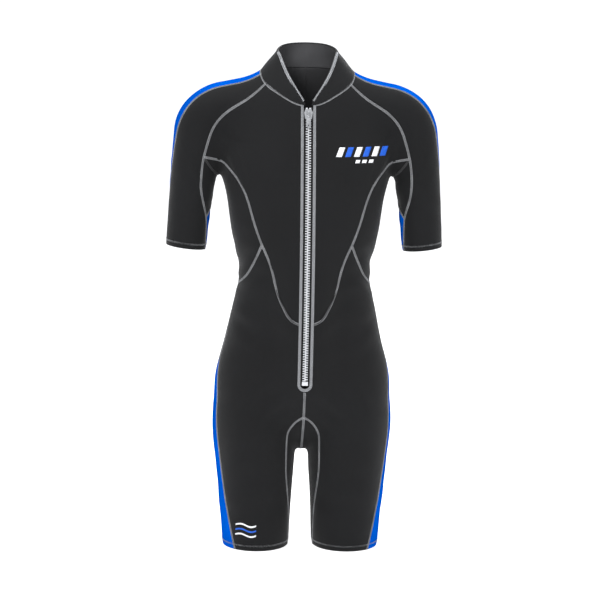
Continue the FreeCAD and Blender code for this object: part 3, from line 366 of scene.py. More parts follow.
class Pattern:
    """Every seam line of the wearer's left half."""

    def __init__(self, form: WornForm) -> None:
        self.form = form
        free = form.on_suit

        def centred(p: Points) -> Points:
            return form.fit(form.settle(p, (True, False, False)))

        self.neck = SeamLine([(0, -69, 884), (24, -67, 889), (52, -57, 902), (78, -35, 918),
                              (84, -12, 931), (82, 12, 940), (68, 42, 946), (38, 62, 950),
                              (0, 70, 951)], free)
        self.cuff_a = self.cuff(np.array([[193.0, -10, 597]]))[0]
        self.cuff_b = self.cuff(np.array([[270.0, 6, 606]]))[0]
        self.raglan = SeamLine([self.neck.knot(3), (113, -50, 898), (150, -58, 874), (173, -60, 846),
                                (190, -58, 806), (197, -50, 779), (202, -46, 742), (199, -44, 705),
                                (190, -27, 662), (190, -18, 630), self.cuff_a], free)
        self.shoulder = SeamLine([self.neck.knot(4), (112, -17, 929), (155, -21, 923), (195, -22, 906),
                                  (228, -22, 875), (246, -19, 834), (254, -13, 796), (261, -6, 750),
                                  (266, 0, 700), (268, 3, 655), self.cuff_b], free)
        self.j, self.t = self.raglan.knot(5), self.raglan.knot(8)
        self.back_raglan = SeamLine([self.neck.knot(6), (108, 58, 918), (150, 70, 882), (180, 74, 838),
                                     (195, 66, 785), (203, 54, 745), (198, 28, 708), (190, -4, 680),
                                     self.t], free)
        self.jb = self.back_raglan.knot(4)
        end = form.settle(np.array([[0, -104.0, 463], [0, 96.0, 474]]), (True, False, True))
        self.princess = SeamLine([self.j, (178, -60, 767), (157, -78, 749), (134, -95, 718),
                                  (117, -102, 672), (94, -106, 615), (77, -108, 580), (62, -106, 532),
                                  (48, -104, 498), (27, -103, 472), end[0]], free)
        self.back_princess = SeamLine([self.jb, (172, 84, 772), (150, 96, 745), (134, 100, 700),
                                       (118, 98, 650), (98, 90, 598), (72, 88, 545), (45, 92, 505),
                                       (20, 95, 480), end[1]], free)
        self.d, self.db = self.princess.knot(5), self.back_princess.knot(5)
        self.armhole = SeamLine([self.j, (184, -28, 757), (176, 2, 746), (184, 36, 762), self.jb], free)
        self.p = self.armhole.knot(2)
        self.side = SeamLine([self.p, (160, 0, 715), (150, 0, 680), (140, 0, 625), (128, -2, 570),
                              (132, -5, 531)], free)
        self.w = self.side.dense[-1]
        self.slant = SeamLine([self.d, (110, -92, 583), (124, -60, 552), self.w], free)
        self.back_slant = SeamLine([self.db, (112, 74, 575), (126, 42, 550), self.w], free)
        self.hip = SeamLine([self.w, (134, -5, 500), (140, -5, 455), (149, -5, 420), (157, -5, 392)], free)
        self.a = self.hip.dense[-1]
        self.centre_front = SeamLine([self.princess.dense[-1], (0, -100, 400), (0, -95, 336),
                                      (0, -72, 277)], centred)
        self.centre_back = SeamLine([self.back_princess.dense[-1], (0, 112, 410), (0, 112, 340),
                                     (0, 88, 285)], centred)
        self.k, self.kb = self.centre_front.dense[-1], self.centre_back.dense[-1]
        self.crotch = SeamLine([self.k, (0, -45, 258), (0, 5, 250), (0, 55, 260), self.kb], centred)
        self.blue = self._to_hem([self.a, (164, -20, 340), (168, -31, 258), (163, -38, 184),
                                  (149, -43, 97), (131, -54, 8)])
        self.back_blue = self._to_hem([self.a, (166, 16, 335), (169, 36, 255), (162, 48, 180),
                                       (149, 56, 95), (132, 60, 8)])
        self.gusset = self._to_hem([self.k, (14, -68, 268), (28, -62, 240), (32, -56, 200),
                                    (31, -48, 150), (27, -35, 110), (24, -20, 60), (23.5, -8, 8)])
        self.back_gusset = self._to_hem([self.kb, (14, 86, 273), (30, 77, 240), (34, 66, 198),
                                         (32, 56, 150), (28, 46, 105), (25, 36, 60), (25, 32, 8)])
        self.front_edge = SeamLine([self.neck.dense[0], (0, -90, 800), (0, -112, 650), (0, -110, 550),
                                    self.princess.dense[-1]], centred)

    def line(self, points: Sequence, centred: bool = False) -> SeamLine:
        """A steering line inside a panel."""
        if centred:
            return SeamLine(points, lambda p: self.form.fit(self.form.settle(p, (True, False, False))))
        return SeamLine(points, self.form.on_suit)

    def _to_hem(self, points: list) -> SeamLine:
        last = self.leg_hem(np.array([points[-1]], float))[0]
        line = SeamLine(points[:-1] + [last], self.form.on_suit)
        line.dense[-1] = self.leg_hem(line.dense[-1:])[0]
        return line

    def leg_hem(self, p: Points) -> Points:
        """Nearest points of the level leg hem."""
        q = np.array(p, float)
        q[:, 2] = LEG_HEM_Z
        return self.form.settle(q, (False, False, True))

    def cuff(self, p: Points) -> Points:
        """Nearest points of the slanted sleeve hem."""
        q = np.array(p, float)
        slope = (CUFF_OUT[1] - CUFF_IN[1]) / (CUFF_OUT[0] - CUFF_IN[0])
        for _ in range(4):
            q[:, 2] = CUFF_IN[1] + (q[:, 0] - CUFF_IN[0]) * slope
            q = self.form.settle(q, (False, False, True), 3)
        q[:, 2] = CUFF_IN[1] + (q[:, 0] - CUFF_IN[0]) * slope
        return q

    def hem_run(self, a: Points, b: Points, through: Sequence, centre: tuple,
                place: Callable[[Points], Points], count: int) -> Points:
        """Points round a hem from a to b on the side of 'through'."""
        cx, cy = centre
        turn = np.unwrap([math.atan2(p[1] - cy, p[0] - cx) for p in (a, through, b)])
        t = np.linspace(turn[0], turn[2], 90)
        r = (math.hypot(a[0] - cx, a[1] - cy) + math.hypot(b[0] - cx, b[1] - cy)) / 2
        run = place(np.column_stack([cx + r * np.cos(t), cy + r * np.sin(t), np.full(90, a[2])]))
        run[0], run[-1] = a, b
        return even(run, count)

    def leg_edge(self, a: Points, b: Points, through: Sequence, count: int) -> Points:
        """Leg hem points between two seam ends."""
        return self.hem_run(a, b, through, LEG_MID, self.leg_hem, count)

    def cuff_edge(self, a: Points, b: Points, through: Sequence, count: int) -> Points:
        """Sleeve hem points between two seam ends."""
        return self.hem_run(a, b, through, ARM_MID, self.cuff, count)


# ------------------------------------------------------------------ materials
class Yarn(Enum):
    """Colours of thread used on the suit."""

    SEAM = (0.22, 0.225, 0.235)
    BORDER = (0.36, 0.37, 0.39)
    HEM = (0.24, 0.245, 0.255)
    EDGE = (0.020, 0.020, 0.022)


@dataclass(frozen=True)
class JerseyFinish:
    """Nylon jersey laminated on neoprene."""

    name: str
    dark: tuple[float, float, float]
    light: tuple[float, float, float]
    roughness: float = 0.8
    sheen: float = 0.07
    knit_scale: float = 300.0
    gloss: float = 0.16


@dataclass(frozen=True)
class HardFinish:
    """Moulded or plated zip part."""

    name: str
    color: tuple[float, float, float]
    metallic: float
    roughness: float
    grain: float


BLACK = JerseyFinish("jersey_black", (0.0030, 0.0031, 0.0036), (0.0058, 0.0060, 0.0068))
BLUE = JerseyFinish("jersey_blue", (0.0, 0.060, 0.38), (0.0, 0.098, 0.56), 0.75, 0.0, gloss=0.0)
COLLAR_CLOTH = JerseyFinish("jersey_collar", (0.0036, 0.0038, 0.0043), (0.0072, 0.0074, 0.0082))
LINING = JerseyFinish("jersey_lining", (0.050, 0.050, 0.053), (0.078, 0.078, 0.082), 0.85, 0.1, 220.0)
TAPE = JerseyFinish("zip_tape_weave", (0.004, 0.004, 0.0043), (0.011, 0.011, 0.0115), 0.7, 0.05, 420.0)
TEETH = HardFinish("zip_teeth_moulded", (0.47, 0.48, 0.50), 0.20, 0.34, 0.05)
PLATED = HardFinish("slider_plated", (0.50, 0.51, 0.53), 0.85, 0.24, 0.08)


class NodeKit:
    """Short helper that adds and links shader nodes of one material."""

    def __init__(self, name: str) -> None:
        self.material = bpy.data.materials.new(name)
        self.material.use_nodes = True
        self.tree = self.material.node_tree
        self.shader = self.tree.nodes["Principled BSDF"]

    def add(self, kind: str, **settings) -> bpy.types.Node:
        """New node with attributes set."""
        node = self.tree.nodes.new(kind)
        for key, value in settings.items():
            setattr(node, key, value)
        return node

    def link(self, source, target) -> None:
        """Join two sockets."""
        self.tree.links.new(source, target)

    def noise(self, coords, scale: float, detail: float = 3.0) -> bpy.types.Node:
        """Noise texture on the given coordinates."""
        node = self.add("ShaderNodeTexNoise")
        node.inputs["Scale"].default_value = scale
        node.inputs["Detail"].default_value = detail
        self.link(coords, node.inputs["Vector"])
        return node

    def wave(self, coords, scale: float, direction: str) -> bpy.types.Node:
        """Even bands across the cloth."""
        node = self.add("ShaderNodeTexWave", wave_type="BANDS", bands_direction=direction)
        node.inputs["Scale"].default_value = scale
        node.inputs["Distortion"].default_value = 0.6
        node.inputs["Detail Scale"].default_value = 2.0
        self.link(coords, node.inputs["Vector"])
        return node

    def ramp(self, factor, stops: Sequence[tuple]) -> bpy.types.Node:
        """Colour ramp with the given position and colour stops."""
        node = self.add("ShaderNodeValToRGB")
        cells = node.color_ramp.elements
        while len(cells) < len(stops):
            cells.new(0.5)
        for cell, (at, color) in zip(cells, stops):
            cell.position = at
            cell.color = (*color, 1.0)
        self.link(factor, node.inputs["Fac"])
        return node

    def bump(self, height, strength: float, distance: float, under=None) -> bpy.types.Node:
        """Bump from a height socket."""
        node = self.add("ShaderNodeBump")
        node.inputs["Strength"].default_value = strength
        node.inputs["Distance"].default_value = distance
        self.link(height, node.inputs["Height"])
        if under is not None:
            self.link(under, node.inputs["Normal"])
        return node

    def finish(self, color, normal) -> bpy.types.Material:
        """Join the last colour and bump nodes to the shader."""
        self.link(color, self.shader.inputs["Base Color"])
        self.link(normal.outputs["Normal"], self.shader.inputs["Normal"])
        return self.material

    def roughness_range(self, factor, low: float, high: float) -> None:
        """Drive roughness between two values."""
        node = self.add("ShaderNodeMapRange")
        node.inputs["To Min"].default_value = low
        node.inputs["To Max"].default_value = high
        self.link(factor, node.inputs["Value"])
        self.link(node.outputs["Result"], self.shader.inputs["Roughness"])


def jersey(finish: JerseyFinish) -> bpy.types.Material:
    """Fine knit face with soft sheen and slight shade changes.

    Args:
        finish: Colours and surface values of the cloth.

    Returns:
        The new material.
    """
    kit = NodeKit(finish.name)
    coords = kit.add("ShaderNodeTexCoord")
    uv, place = coords.outputs["UV"], coords.outputs["Object"]
    wale = kit.wave(uv, finish.knit_scale, "X")
    course = kit.wave(uv, finish.knit_scale * 0.8, "Y")
    knit = kit.add("ShaderNodeMath", operation="MULTIPLY")
    kit.link(wale.outputs["Fac"], knit.inputs[0])
    kit.link(course.outputs["Fac"], knit.inputs[1])
    shade = kit.noise(place, 7.0, 4.0)
    fuzz = kit.noise(place, 900.0, 2.0)
    tone = kit.ramp(shade.outputs["Fac"], [(0.32, finish.dark), (0.72, finish.light)])
    # Painted shade and painted highlight on the knit: the colour is darker in the gaps between the loops and
    # lighter on the loop tops, following the knit pattern that also drives the bump.
    knit_relief_shade = kit.ramp(knit.outputs[0], [(0.0, (0.72, 0.72, 0.72)), (1.0, (1.16, 1.16, 1.16))])
    mix = kit.add("ShaderNodeMix", data_type="RGBA", blend_type="MULTIPLY")
    mix.inputs["Factor"].default_value = 1.0
    kit.link(tone.outputs["Color"], mix.inputs[6])
    kit.link(knit_relief_shade.outputs["Color"], mix.inputs[7])
    kit.roughness_range(shade.outputs["Fac"], finish.roughness - 0.08, finish.roughness + 0.1)
    pile = kit.bump(fuzz.outputs["Fac"], 0.35, 0.0001)
    loops = kit.bump(knit.outputs[0], 0.55, 0.00018, pile.outputs["Normal"])
    kit.shader.inputs["Sheen Weight"].default_value = finish.sheen
    kit.shader.inputs["Sheen Roughness"].default_value = 0.45
    kit.shader.inputs["Specular IOR Level"].default_value = finish.gloss
    return kit.finish(mix.outputs[2], loops)


def thread(yarn: Yarn) -> bpy.types.Material:
    """Twisted polyester thread."""
    kit = NodeKit(f"thread_{yarn.name.lower()}")
    coords = kit.add("ShaderNodeTexCoord")
    twist = kit.wave(coords.outputs["UV"], 520.0, "DIAGONAL")
    worn = kit.noise(coords.outputs["Object"], 60.0, 3.0)
    low = tuple(c * 0.62 for c in yarn.value)
    high = tuple(min(c * 1.45, 1.0) for c in yarn.value)
    tone = kit.ramp(worn.outputs["Fac"], [(0.3, low), (0.7, high)])
    kit.roughness_range(worn.outputs["Fac"], 0.5, 0.72)
    ply = kit.bump(twist.outputs["Fac"], 0.5, 0.0001)
    kit.shader.inputs["Sheen Weight"].default_value = 0.1
    return kit.finish(tone.outputs["Color"], ply)


def seam_bed(yarn: Yarn) -> bpy.types.Material:
    """Looper threads laid across a seam, seen as fine rungs."""
    kit = NodeKit(f"seam_bed_{yarn.name.lower()}")
    coords = kit.add("ShaderNodeTexCoord")
    rungs = kit.wave(coords.outputs["UV"], 180.0, "Y")
    cords = kit.wave(coords.outputs["UV"], 120.0, "X")
    worn = kit.noise(coords.outputs["Object"], 40.0, 3.0)
    low = tuple(c * 0.12 for c in yarn.value)
    high = tuple(c * 0.55 for c in yarn.value)
    tone = kit.ramp(rungs.outputs["Fac"], [(0.15, low), (0.75, high)])
    kit.roughness_range(worn.outputs["Fac"], 0.6, 0.85)
    ridge = kit.bump(cords.outputs["Fac"], 0.4, 0.0002)
    ladder = kit.bump(rungs.outputs["Fac"], 0.7, 0.0003, ridge.outputs["Normal"])
    return kit.finish(tone.outputs["Color"], ladder)


def hard(finish: HardFinish) -> bpy.types.Material:
    """Moulded or plated surface with faint handling marks."""
    kit = NodeKit(finish.name)
    coords = kit.add("ShaderNodeTexCoord")
    grain = kit.noise(coords.outputs["Object"], 700.0, 2.0)
    smear = kit.noise(coords.outputs["Object"], 90.0, 4.0)
    low = tuple(c * 0.82 for c in finish.color)
    tone = kit.ramp(smear.outputs["Fac"], [(0.3, low), (0.65, finish.color)])
    kit.roughness_range(smear.outputs["Fac"], finish.roughness - 0.06, finish.roughness + 0.14)
    skin = kit.bump(grain.outputs["Fac"], finish.grain, 0.0002)
    kit.shader.inputs["Metallic"].default_value = finish.metallic
    return kit.finish(tone.outputs["Color"], skin)


def ink(name: str, color: tuple[float, float, float]) -> bpy.types.Material:
    """Screen print with the knit showing through."""
    kit = NodeKit(name)
    coords = kit.add("ShaderNodeTexCoord")
    knit = kit.wave(coords.outputs["UV"], 300.0, "X")
    wear = kit.noise(coords.outputs["Object"], 160.0, 4.0)
    low = tuple(c * 0.8 for c in color)
    tone = kit.ramp(wear.outputs["Fac"], [(0.3, low), (0.6, color)])
    kit.roughness_range(wear.outputs["Fac"], 0.42, 0.6)
    kit.shader.inputs["Specular IOR Level"].default_value = 0.2
    relief = kit.bump(knit.outputs["Fac"], 0.35, 0.0001)
    return kit.finish(tone.outputs["Color"], relief)


@dataclass
class Palette:
    """Every material of the suit."""

    black: bpy.types.Material
    blue: bpy.types.Material
    collar: bpy.types.Material
    lining: bpy.types.Material
    tape: bpy.types.Material
    teeth: bpy.types.Material
    plated: bpy.types.Material
    white_ink: bpy.types.Material
    blue_ink: bpy.types.Material
    threads: dict
    beds: dict

    @classmethod
    def make(cls) -> "Palette":
        """Build all materials once."""
        return cls(jersey(BLACK), jersey(BLUE), jersey(COLLAR_CLOTH), jersey(LINING), jersey(TAPE),
                   hard(TEETH), hard(PLATED), ink("print_white", (0.66, 0.67, 0.69)),
                   ink("print_blue", (0.01, 0.085, 0.48)),
                   {y: thread(y) for y in Yarn}, {y: seam_bed(y) for y in Yarn})


# ------------------------------------------------------------------ mesh tools
THREAD_SIDES = 4
THREAD_FLAT = 0.8


def finish_object(bm: bmesh.types.BMesh, name: str,
                  materials: Sequence[bpy.types.Material]) -> bpy.types.Object:
    """Turn a bmesh into an object at the origin.

    Args:
        bm: Mesh in the frame's metres; it is freed.
        name: Piece name.
        materials: Material slots in order.

    Returns:
        The new object, linked to the scene.
    """
    for face in bm.faces:
        face.smooth = True
    mesh = bpy.data.meshes.new(name)
    bm.to_mesh(mesh)
    bm.free()
    obj = bpy.data.objects.new(name, mesh)
    bpy.context.scene.collection.objects.link(obj)
    for material in materials:
        mesh.materials.append(material)
    return obj


def thicken(obj: bpy.types.Object, depth: float, lined: bool = False) -> None:
    """Give a sheet its thickness inwards, in millimetres."""
    thick = obj.modifiers.new("thickness", "SOLIDIFY")
    thick.thickness = depth / 1000
    thick.offset = -1.0
    thick.material_offset = int(lined)


def round_edges(obj: bpy.types.Object, width: float, steps: int, angle: float = 55.0) -> None:
    """Round the sharp edges, with the width in millimetres."""
    soft = obj.modifiers.new("soft_edges", "BEVEL")
    soft.width = width / 1000
    soft.segments = steps
    soft.limit_method = "ANGLE"
    soft.angle_limit = math.radians(angle)


def lattice(grid: Points, uv: Points, outward: Points) -> bmesh.types.BMesh:
    """Sheet of faces through a grid of points.

    Args:
        grid: Rows by columns of points in millimetres.
        uv: Distances across and along the cloth in millimetres, same layout.
        outward: Direction that the middle of the sheet faces.

    Returns:
        A mesh whose faces point outwards.
    """
    n, m = grid.shape[:2]
    bm = bmesh.new()
    bmesh.ops.create_grid(bm, x_segments=m - 1, y_segments=n - 1, size=1.0)
    layer = bm.loops.layers.uv.new("UVMap")
    cells = {}
    for v in bm.verts:
        i, j = round((v.co.y + 1) / 2 * (n - 1)), round((v.co.x + 1) / 2 * (m - 1))
        cells[v] = (i, j)
    metres = to_frame(grid.reshape(-1, 3)).reshape(n, m, 3)
    for v, (i, j) in cells.items():
        v.co = metres[i, j]
    for face in bm.faces:
        for loop in face.loops:
            i, j = cells[loop.vert]
            loop[layer].uv = (uv[i, j, 0] / 1000, uv[i, j, 1] / 1000)
    bm.normal_update()
    bm.faces.ensure_lookup_table()
    middle = bm.faces[len(bm.faces) // 2 + (m - 1) // 2]
    if middle.normal.dot(Vector(outward)) < 0:
        bmesh.ops.reverse_faces(bm, faces=bm.faces)
    return bm


def arc_lengths(grid: Points) -> Points:
    """Distance across and along a grid at every point."""
    n, m = grid.shape[:2]
    across, along = np.zeros((n, m)), np.zeros((n, m))
    across[:, 1:] = np.cumsum(np.linalg.norm(np.diff(grid, axis=1), axis=2), axis=1)
    along[1:, :] = np.cumsum(np.linalg.norm(np.diff(grid, axis=0), axis=2), axis=0)
    return np.stack([across, along], axis=2)


def edge_distance(lengths: Points) -> Points:
    """Distance of every grid point from the nearest edge."""
    across, along = lengths[..., 0], lengths[..., 1]
    return np.minimum(np.minimum(across, across[:, -1:] - across), np.minimum(along, along[-1:, :] - along))


def add_thread(bm: bmesh.types.BMesh, path: Points, radius: float, lift: Points,
               closed: bool = False) -> None:
    """Slightly flattened thread along a path in millimetres.

    Args:
        bm: Mesh that receives the thread.
        path: Points of the centre line.
        radius: Radius across the path.
        lift: Outward directions at the points.
        closed: Join the last point to the first.
    """
    k = len(path)
    ahead = unit(run_direction(path, closed))
    side = unit(np.cross(ahead, lift))
    up = np.cross(side, ahead)
    layer = bm.loops.layers.uv.verify()
    along = along_run(path) / 1000
    rings = []
    for i in range(k):
        turns = [q * 2 * math.pi / THREAD_SIDES for q in range(THREAD_SIDES)]
        ring = [path[i] + radius * (math.cos(t) * side[i] + THREAD_FLAT * math.sin(t) * up[i]) for t in turns]
        rings.append([bm.verts.new(to_frame(point)) for point in ring])
    pairs = list(zip(range(k), range(1, k))) + ([(k - 1, 0)] if closed else [])
    for a, b in pairs:
        for q in range(THREAD_SIDES):
            r = (q + 1) % THREAD_SIDES
            face = bm.faces.new((rings[a][q], rings[a][r], rings[b][r], rings[b][q]))
            corners = ((along[a], q), (along[a], q + 1), (along[b], q + 1), (along[b], q))
            for loop, (u, w) in zip(face.loops, corners):
                loop[layer].uv = (w * radius / 1000, u)
    if not closed:
        bm.faces.new(rings[0][::-1])
        bm.faces.new(rings[-1])


# ------------------------------------------------------------------ folds
@dataclass(frozen=True)
class Fold:
    """A group of soft folds in one place, in millimetres."""

    centre: tuple[float, float, float]
    reach: float
    across: tuple[float, float, float]
    length: float
    height: float
    phase: float = 0.0


FOLD_GAIN = 1.35
FOLDS = (
    Fold((120, -45, 560), 62, (0.25, 0.1, 1.0), 46, 1.5, 0.4),
    Fold((128, 40, 560), 60, (0.2, -0.1, 1.0), 40, 1.3, 1.7),
    Fold((60, -85, 300), 58, (0.75, 0.0, 0.65), 44, 1.5, 0.9),
    Fold((30, -60, 250), 46, (0.8, 0.1, 0.6), 30, 1.2, 2.2),
    Fold((70, 100, 300), 70, (0.5, 0.0, 0.85), 48, 1.7, 0.2),
    Fold((172, -42, 765), 52, (0.85, 0.2, -0.5), 34, 1.3, 0.0),
    Fold((180, 50, 780), 56, (0.8, -0.2, -0.5), 36, 1.4, 1.2),
    Fold((225, -30, 700), 60, (0.25, 0.0, 1.0), 52, 1.0, 0.8),
    Fold((228, 40, 720), 60, (-0.25, 0.0, 1.0), 46, 1.2, 2.0),
    Fold((95, -80, 470), 70, (-0.35, 0.0, 1.0), 60, 1.1, 0.5),
    Fold((0, 95, 560), 80, (0.0, 0.1, 1.0), 44, 1.4, 0.3),
    Fold((100, -70, 120), 80, (0.3, 0.0, 1.0), 70, 0.9, 1.0),
    Fold((100, 84, 140), 80, (-0.3, 0.0, 1.0), 60, 1.0, 2.4),
)


def fold_height(p: Points) -> Points:
    """Outward rise of the cloth's folds at points of the left half."""
    ax = np.abs(p[:, 0])
    q = np.column_stack([ax, p[:, 1], p[:, 2]])
    side = np.where(p[:, 0] < 0, 0.7, 0.0)
    rise = 0.30 * np.sin(q @ (0.045, 0.03, 0.021) + side) + 0.25 * np.sin(q @ (-0.03, 0.05, 0.052) + 2 * side)
    for fold in FOLDS:
        d = q - fold.centre
        near = np.exp(-(d * d).sum(1) / fold.reach ** 2)
        bend = 5 * np.sin(q @ (0.05, 0.04, -0.03) + side)
        wave = np.sin(2 * math.pi * (d @ fold.across + bend) / fold.length + fold.phase + side)
        rise += fold.height * near * wave
    quiet = np.where(p[:, 1] < 0, np.clip((ax - 12) / 22, 0, 1), 1.0)
    return FOLD_GAIN * rise * quiet


# ------------------------------------------------------------------ panels
class Cloth:
    """Cuts every neoprene panel and lays it on the worn form."""

    STEP = 4.6
    PUFF = 0.75
    PUFF_REACH = 5.0
    SEAM_DIP = 0.55

    def __init__(self, form: WornForm, pattern: Pattern, palette: Palette) -> None:
        self.form, self.pattern, self.palette = form, pattern, palette

    def count(self, *runs: Points) -> int:
        """Grid points needed along the longest of some runs."""
        return max(8, int(max(run_length(r) for r in runs) / self.STEP) + 1)

    def fill(self, left: Points, right: Points, top: Points, bottom: Points,
             rail: Optional[Points] = None) -> Points:
        """Grid of points on the suit between four edge runs.

        Args:
            left: First long edge, top to bottom.
            right: Second long edge.
            top: Top edge, left to right.
            bottom: Bottom edge, left to right.
            rail: Steering run down the middle, or None.

        Returns:
            Rows by columns of points.
        """
        n, m = len(left), len(top)
        u = np.linspace(0, 1, m)[None, :, None]
        v = np.linspace(0, 1, n)[:, None, None]
        a, c = left[:, None, :], right[:, None, :]
        if rail is None:
            base = a * (1 - u) + c * u
        else:
            b = rail[:, None, :]
            base = 2 * (u - 0.5) * (u - 1) * a - 4 * u * (u - 1) * b + 2 * u * (u - 0.5) * c
        grid = base + (1 - v) * (top[None] - base[:1]) + v * (bottom[None] - base[-1:])
        inner = (slice(1, -1), slice(1, -1))
        shape = grid[inner].shape
        grid[inner] = self.form.settle(grid[inner].reshape(-1, 3)).reshape(shape)
        for _ in range(24):
            mean = (grid[:-2, 1:-1] + grid[2:, 1:-1] + grid[1:-1, :-2] + grid[1:-1, 2:]) / 4
            moved = grid[inner] * 0.35 + mean * 0.65
            grid[inner] = self.form.settle(moved.reshape(-1, 3), rounds=1).reshape(shape)
        grid[inner] = self.form.on_suit(grid[inner].reshape(-1, 3)).reshape(shape)
        grid[0], grid[-1] = top, bottom
        grid[:, 0], grid[:, -1] = left, right
        return grid

    def front_panel(self) -> Points:
        """Chest and belly panel beside the zip."""
        p = self.pattern
        n, m = self.count(p.front_edge.dense), self.count(p.princess.dense) // 2
        return self.fill(p.front_edge.part(n), p.raglan.part(n, 0, 5), p.neck.part(m, 0, 3),
                         p.princess.part(m, 10, 0))

    def side_panel(self) -> Points:
        """Front half of the flank."""
        p = self.pattern
        n, m = self.count(p.side.dense), self.count(p.slant.dense)
        return self.fill(p.princess.part(n, 0, 5), p.side.part(n), p.armhole.part(m, 0, 2), p.slant.part(m))

    def side_back_panel(self) -> Points:
        """Back half of the flank."""
        p = self.pattern
        n, m = self.count(p.side.dense), self.count(p.back_slant.dense)
        return self.fill(p.back_princess.part(n, 0, 5), p.side.part(n), p.armhole.part(m, 4, 2),
                         p.back_slant.part(m))

    def back_panel(self) -> Points:
        """One-piece back from the collar seam to the seat seam."""
        p = self.pattern
        n, half = 76, 46
        neck, low = p.neck.part(half, 6, 8), p.back_princess.part(half)
        top = np.vstack([mirror(neck), neck[::-1][1:]])
        bottom = np.vstack([mirror(low), low[::-1][1:]])
        right = p.back_raglan.part(n, 0, 4)
        spine = p.line([neck[-1], (0, 100, 860), (0, 105, 760), (0, 98, 650), (0, 88, 565),
                        p.back_princess.dense[-1]], True).part(n)
        return self.fill(mirror(right), right, top, bottom, spine)

    def thigh(self, front: bool) -> Points:
        """Thigh panel from the waist seams to the hem, in three fields."""
        p = self.pattern
        if front:
            slant, leg, gusset, centre, top_line = p.slant, p.blue, p.gusset, p.centre_front, p.princess
            hips = [p.w, (116, -70, 500), (66, -102, 455), centre.knot(1)]
            low = [leg.knot(1), (130, -74, 325), (68, -92, 295), centre.dense[-1]]
            mid = [(62, -106, 532), (70, -100, 462), (85, -92, 302), (91, -88, 200), (91, -80, 100),
                   (90, -73, 8)]
        else:
            slant, leg, gusset, centre = p.back_slant, p.back_blue, p.back_gusset, p.centre_back
            top_line = p.back_princess
            hips = [p.w, (118, 66, 505), (66, 104, 460), centre.knot(1)]
            low = [leg.knot(1), (132, 92, 325), (68, 112, 300), centre.dense[-1]]
            mid = [(72, 88, 545), (74, 108, 465), (88, 112, 302), (91, 100, 200), (91, 90, 100), (90, 80, 8)]
        m = 42
        a1, a2, a3 = 22, 46, 72
        hip, low = p.line(hips).part(m), p.line(low).part(m)
        hem = p.leg_edge(leg.dense[-1], gusset.dense[-1], mid[-1], m)
        steer = p.line(mid)
        top_end = 10 if front else 9
        outer = even(np.vstack([p.hip.dense, leg.run(0, 1)[1:]]), a2)
        g1 = self.fill(slant.part(a1), centre.part(a1, 0, 1), top_line.part(m, 5, top_end), hip,
                       steer.part(a1, 0, 1))
        g2 = self.fill(outer, centre.part(a2, 1, 3), hip, low, steer.part(a2, 1, 2))
        last = (len(leg.dense) - 1) // SeamLine.FINE
        g3 = self.fill(leg.part(a3, 1, last), gusset.part(a3), low, hem, steer.part(a3, 2, 5))
        grid = np.vstack([g1, g2[1:], g3[1:]])
        shape = grid[1:-1, 1:-1].shape
        for _ in range(3):
            mean = (grid[:-2, 1:-1] + grid[2:, 1:-1]) / 2
            moved = grid[1:-1, 1:-1] * 0.6 + mean * 0.4
            grid[1:-1, 1:-1] = self.form.on_suit(moved.reshape(-1, 3)).reshape(shape)
        return grid

    def outer_thigh(self) -> Points:
        """Blue outer thigh panel, pointed at the top."""
        p = self.pattern
        n, m, skip = self.count(p.blue.dense), 25, 2
        left, right = even(p.blue.dense[skip:], n), even(p.back_blue.dense[skip:], n)
        top = self.form.on_suit(np.linspace(left[0], right[0], m))
        hem = p.leg_edge(left[-1], right[-1], (153, 4, 8), m)
        rail = p.line([top[m // 2], (172, 4, 320), (176, 8, 255), (171, 7, 180), (161, 5, 95), hem[m // 2]])
        return self.fill(left, right, top, hem, rail.part(n))

    def inner_thigh(self) -> Points:
        """Gusset on the inside of the thigh."""
        p = self.pattern
        n, m = self.count(p.gusset.dense), 27
        top = p.crotch.part(m)
        hem = p.leg_edge(p.gusset.dense[-1], p.back_gusset.dense[-1], (24, 6, 8), m)
        rail = p.line([top[m // 2], (10.2, 11, 195), (13.4, 9, 180), (15.6, 8, 150), (19, 6, 100),
                       (22, 5, 60), hem[m // 2]])
        return self.fill(p.gusset.part(n), p.back_gusset.part(n), top, hem, rail.part(n))

    def sleeve_front(self) -> Points:
        """Black raglan sleeve front."""
        p = self.pattern
        n, m = self.count(p.raglan.dense), 25
        top = p.neck.part(m, 3, 4)
        hem = p.cuff_edge(p.cuff_a, p.cuff_b, (234, -38, 601), m)
        rail = p.line([top[m // 2], (120, -38, 914), (165, -45, 892), (205, -48, 852), (222, -48, 790),
                       (227, -46, 700), (231, -42, 650), hem[m // 2]])
        return self.fill(p.raglan.part(n), p.shoulder.part(n), top, hem, rail.part(n))

    def shoulder_panel(self) -> Points:
        """Blue panel over the shoulder and down the back of the sleeve."""
        p = self.pattern
        a1, a2, m = 86, 16, 41
        top = p.neck.part(m, 4, 6)
        hem = p.cuff_edge(p.cuff_b, p.cuff_a, (233, 46, 601), m)
        cross = p.line([p.shoulder.knot(9), (254, 38, 657), (230, 51, 659), (208, 42, 660), (194, 10, 661),
                        p.t]).part(m)
        rail = p.line([top[m // 2], (120, 30, 932), (165, 52, 896), (205, 62, 850), (224, 64, 790),
                       (226, 58, 720), cross[m // 2], hem[m // 2]])
        g1 = self.fill(p.shoulder.part(a1, 0, 9), p.back_raglan.part(a1), top, cross, rail.part(a1, 0, 6))
        g2 = self.fill(p.shoulder.part(a2, 9, 10), p.raglan.part(a2, 8, 10), cross, hem, rail.part(a2, 6, 7))
        return np.vstack([g1, g2[1:]])

    def underarm_panel(self) -> Points:
        """Gusset under the arm that runs to a point inside the sleeve."""
        p = self.pattern
        n, m, stop = 30, 27, 3
        left, right = even(p.raglan.run(5, 8)[:-stop], n), even(p.back_raglan.run(4, 8)[:-stop], n)
        tip = self.form.on_suit(np.linspace(left[-1], right[-1], m))
        rail = p.line([p.p, (184, 0, 715), (186, -12, 690), tip[m // 2]])
        return self.fill(left, right, p.armhole.part(m), tip, rail.part(n))

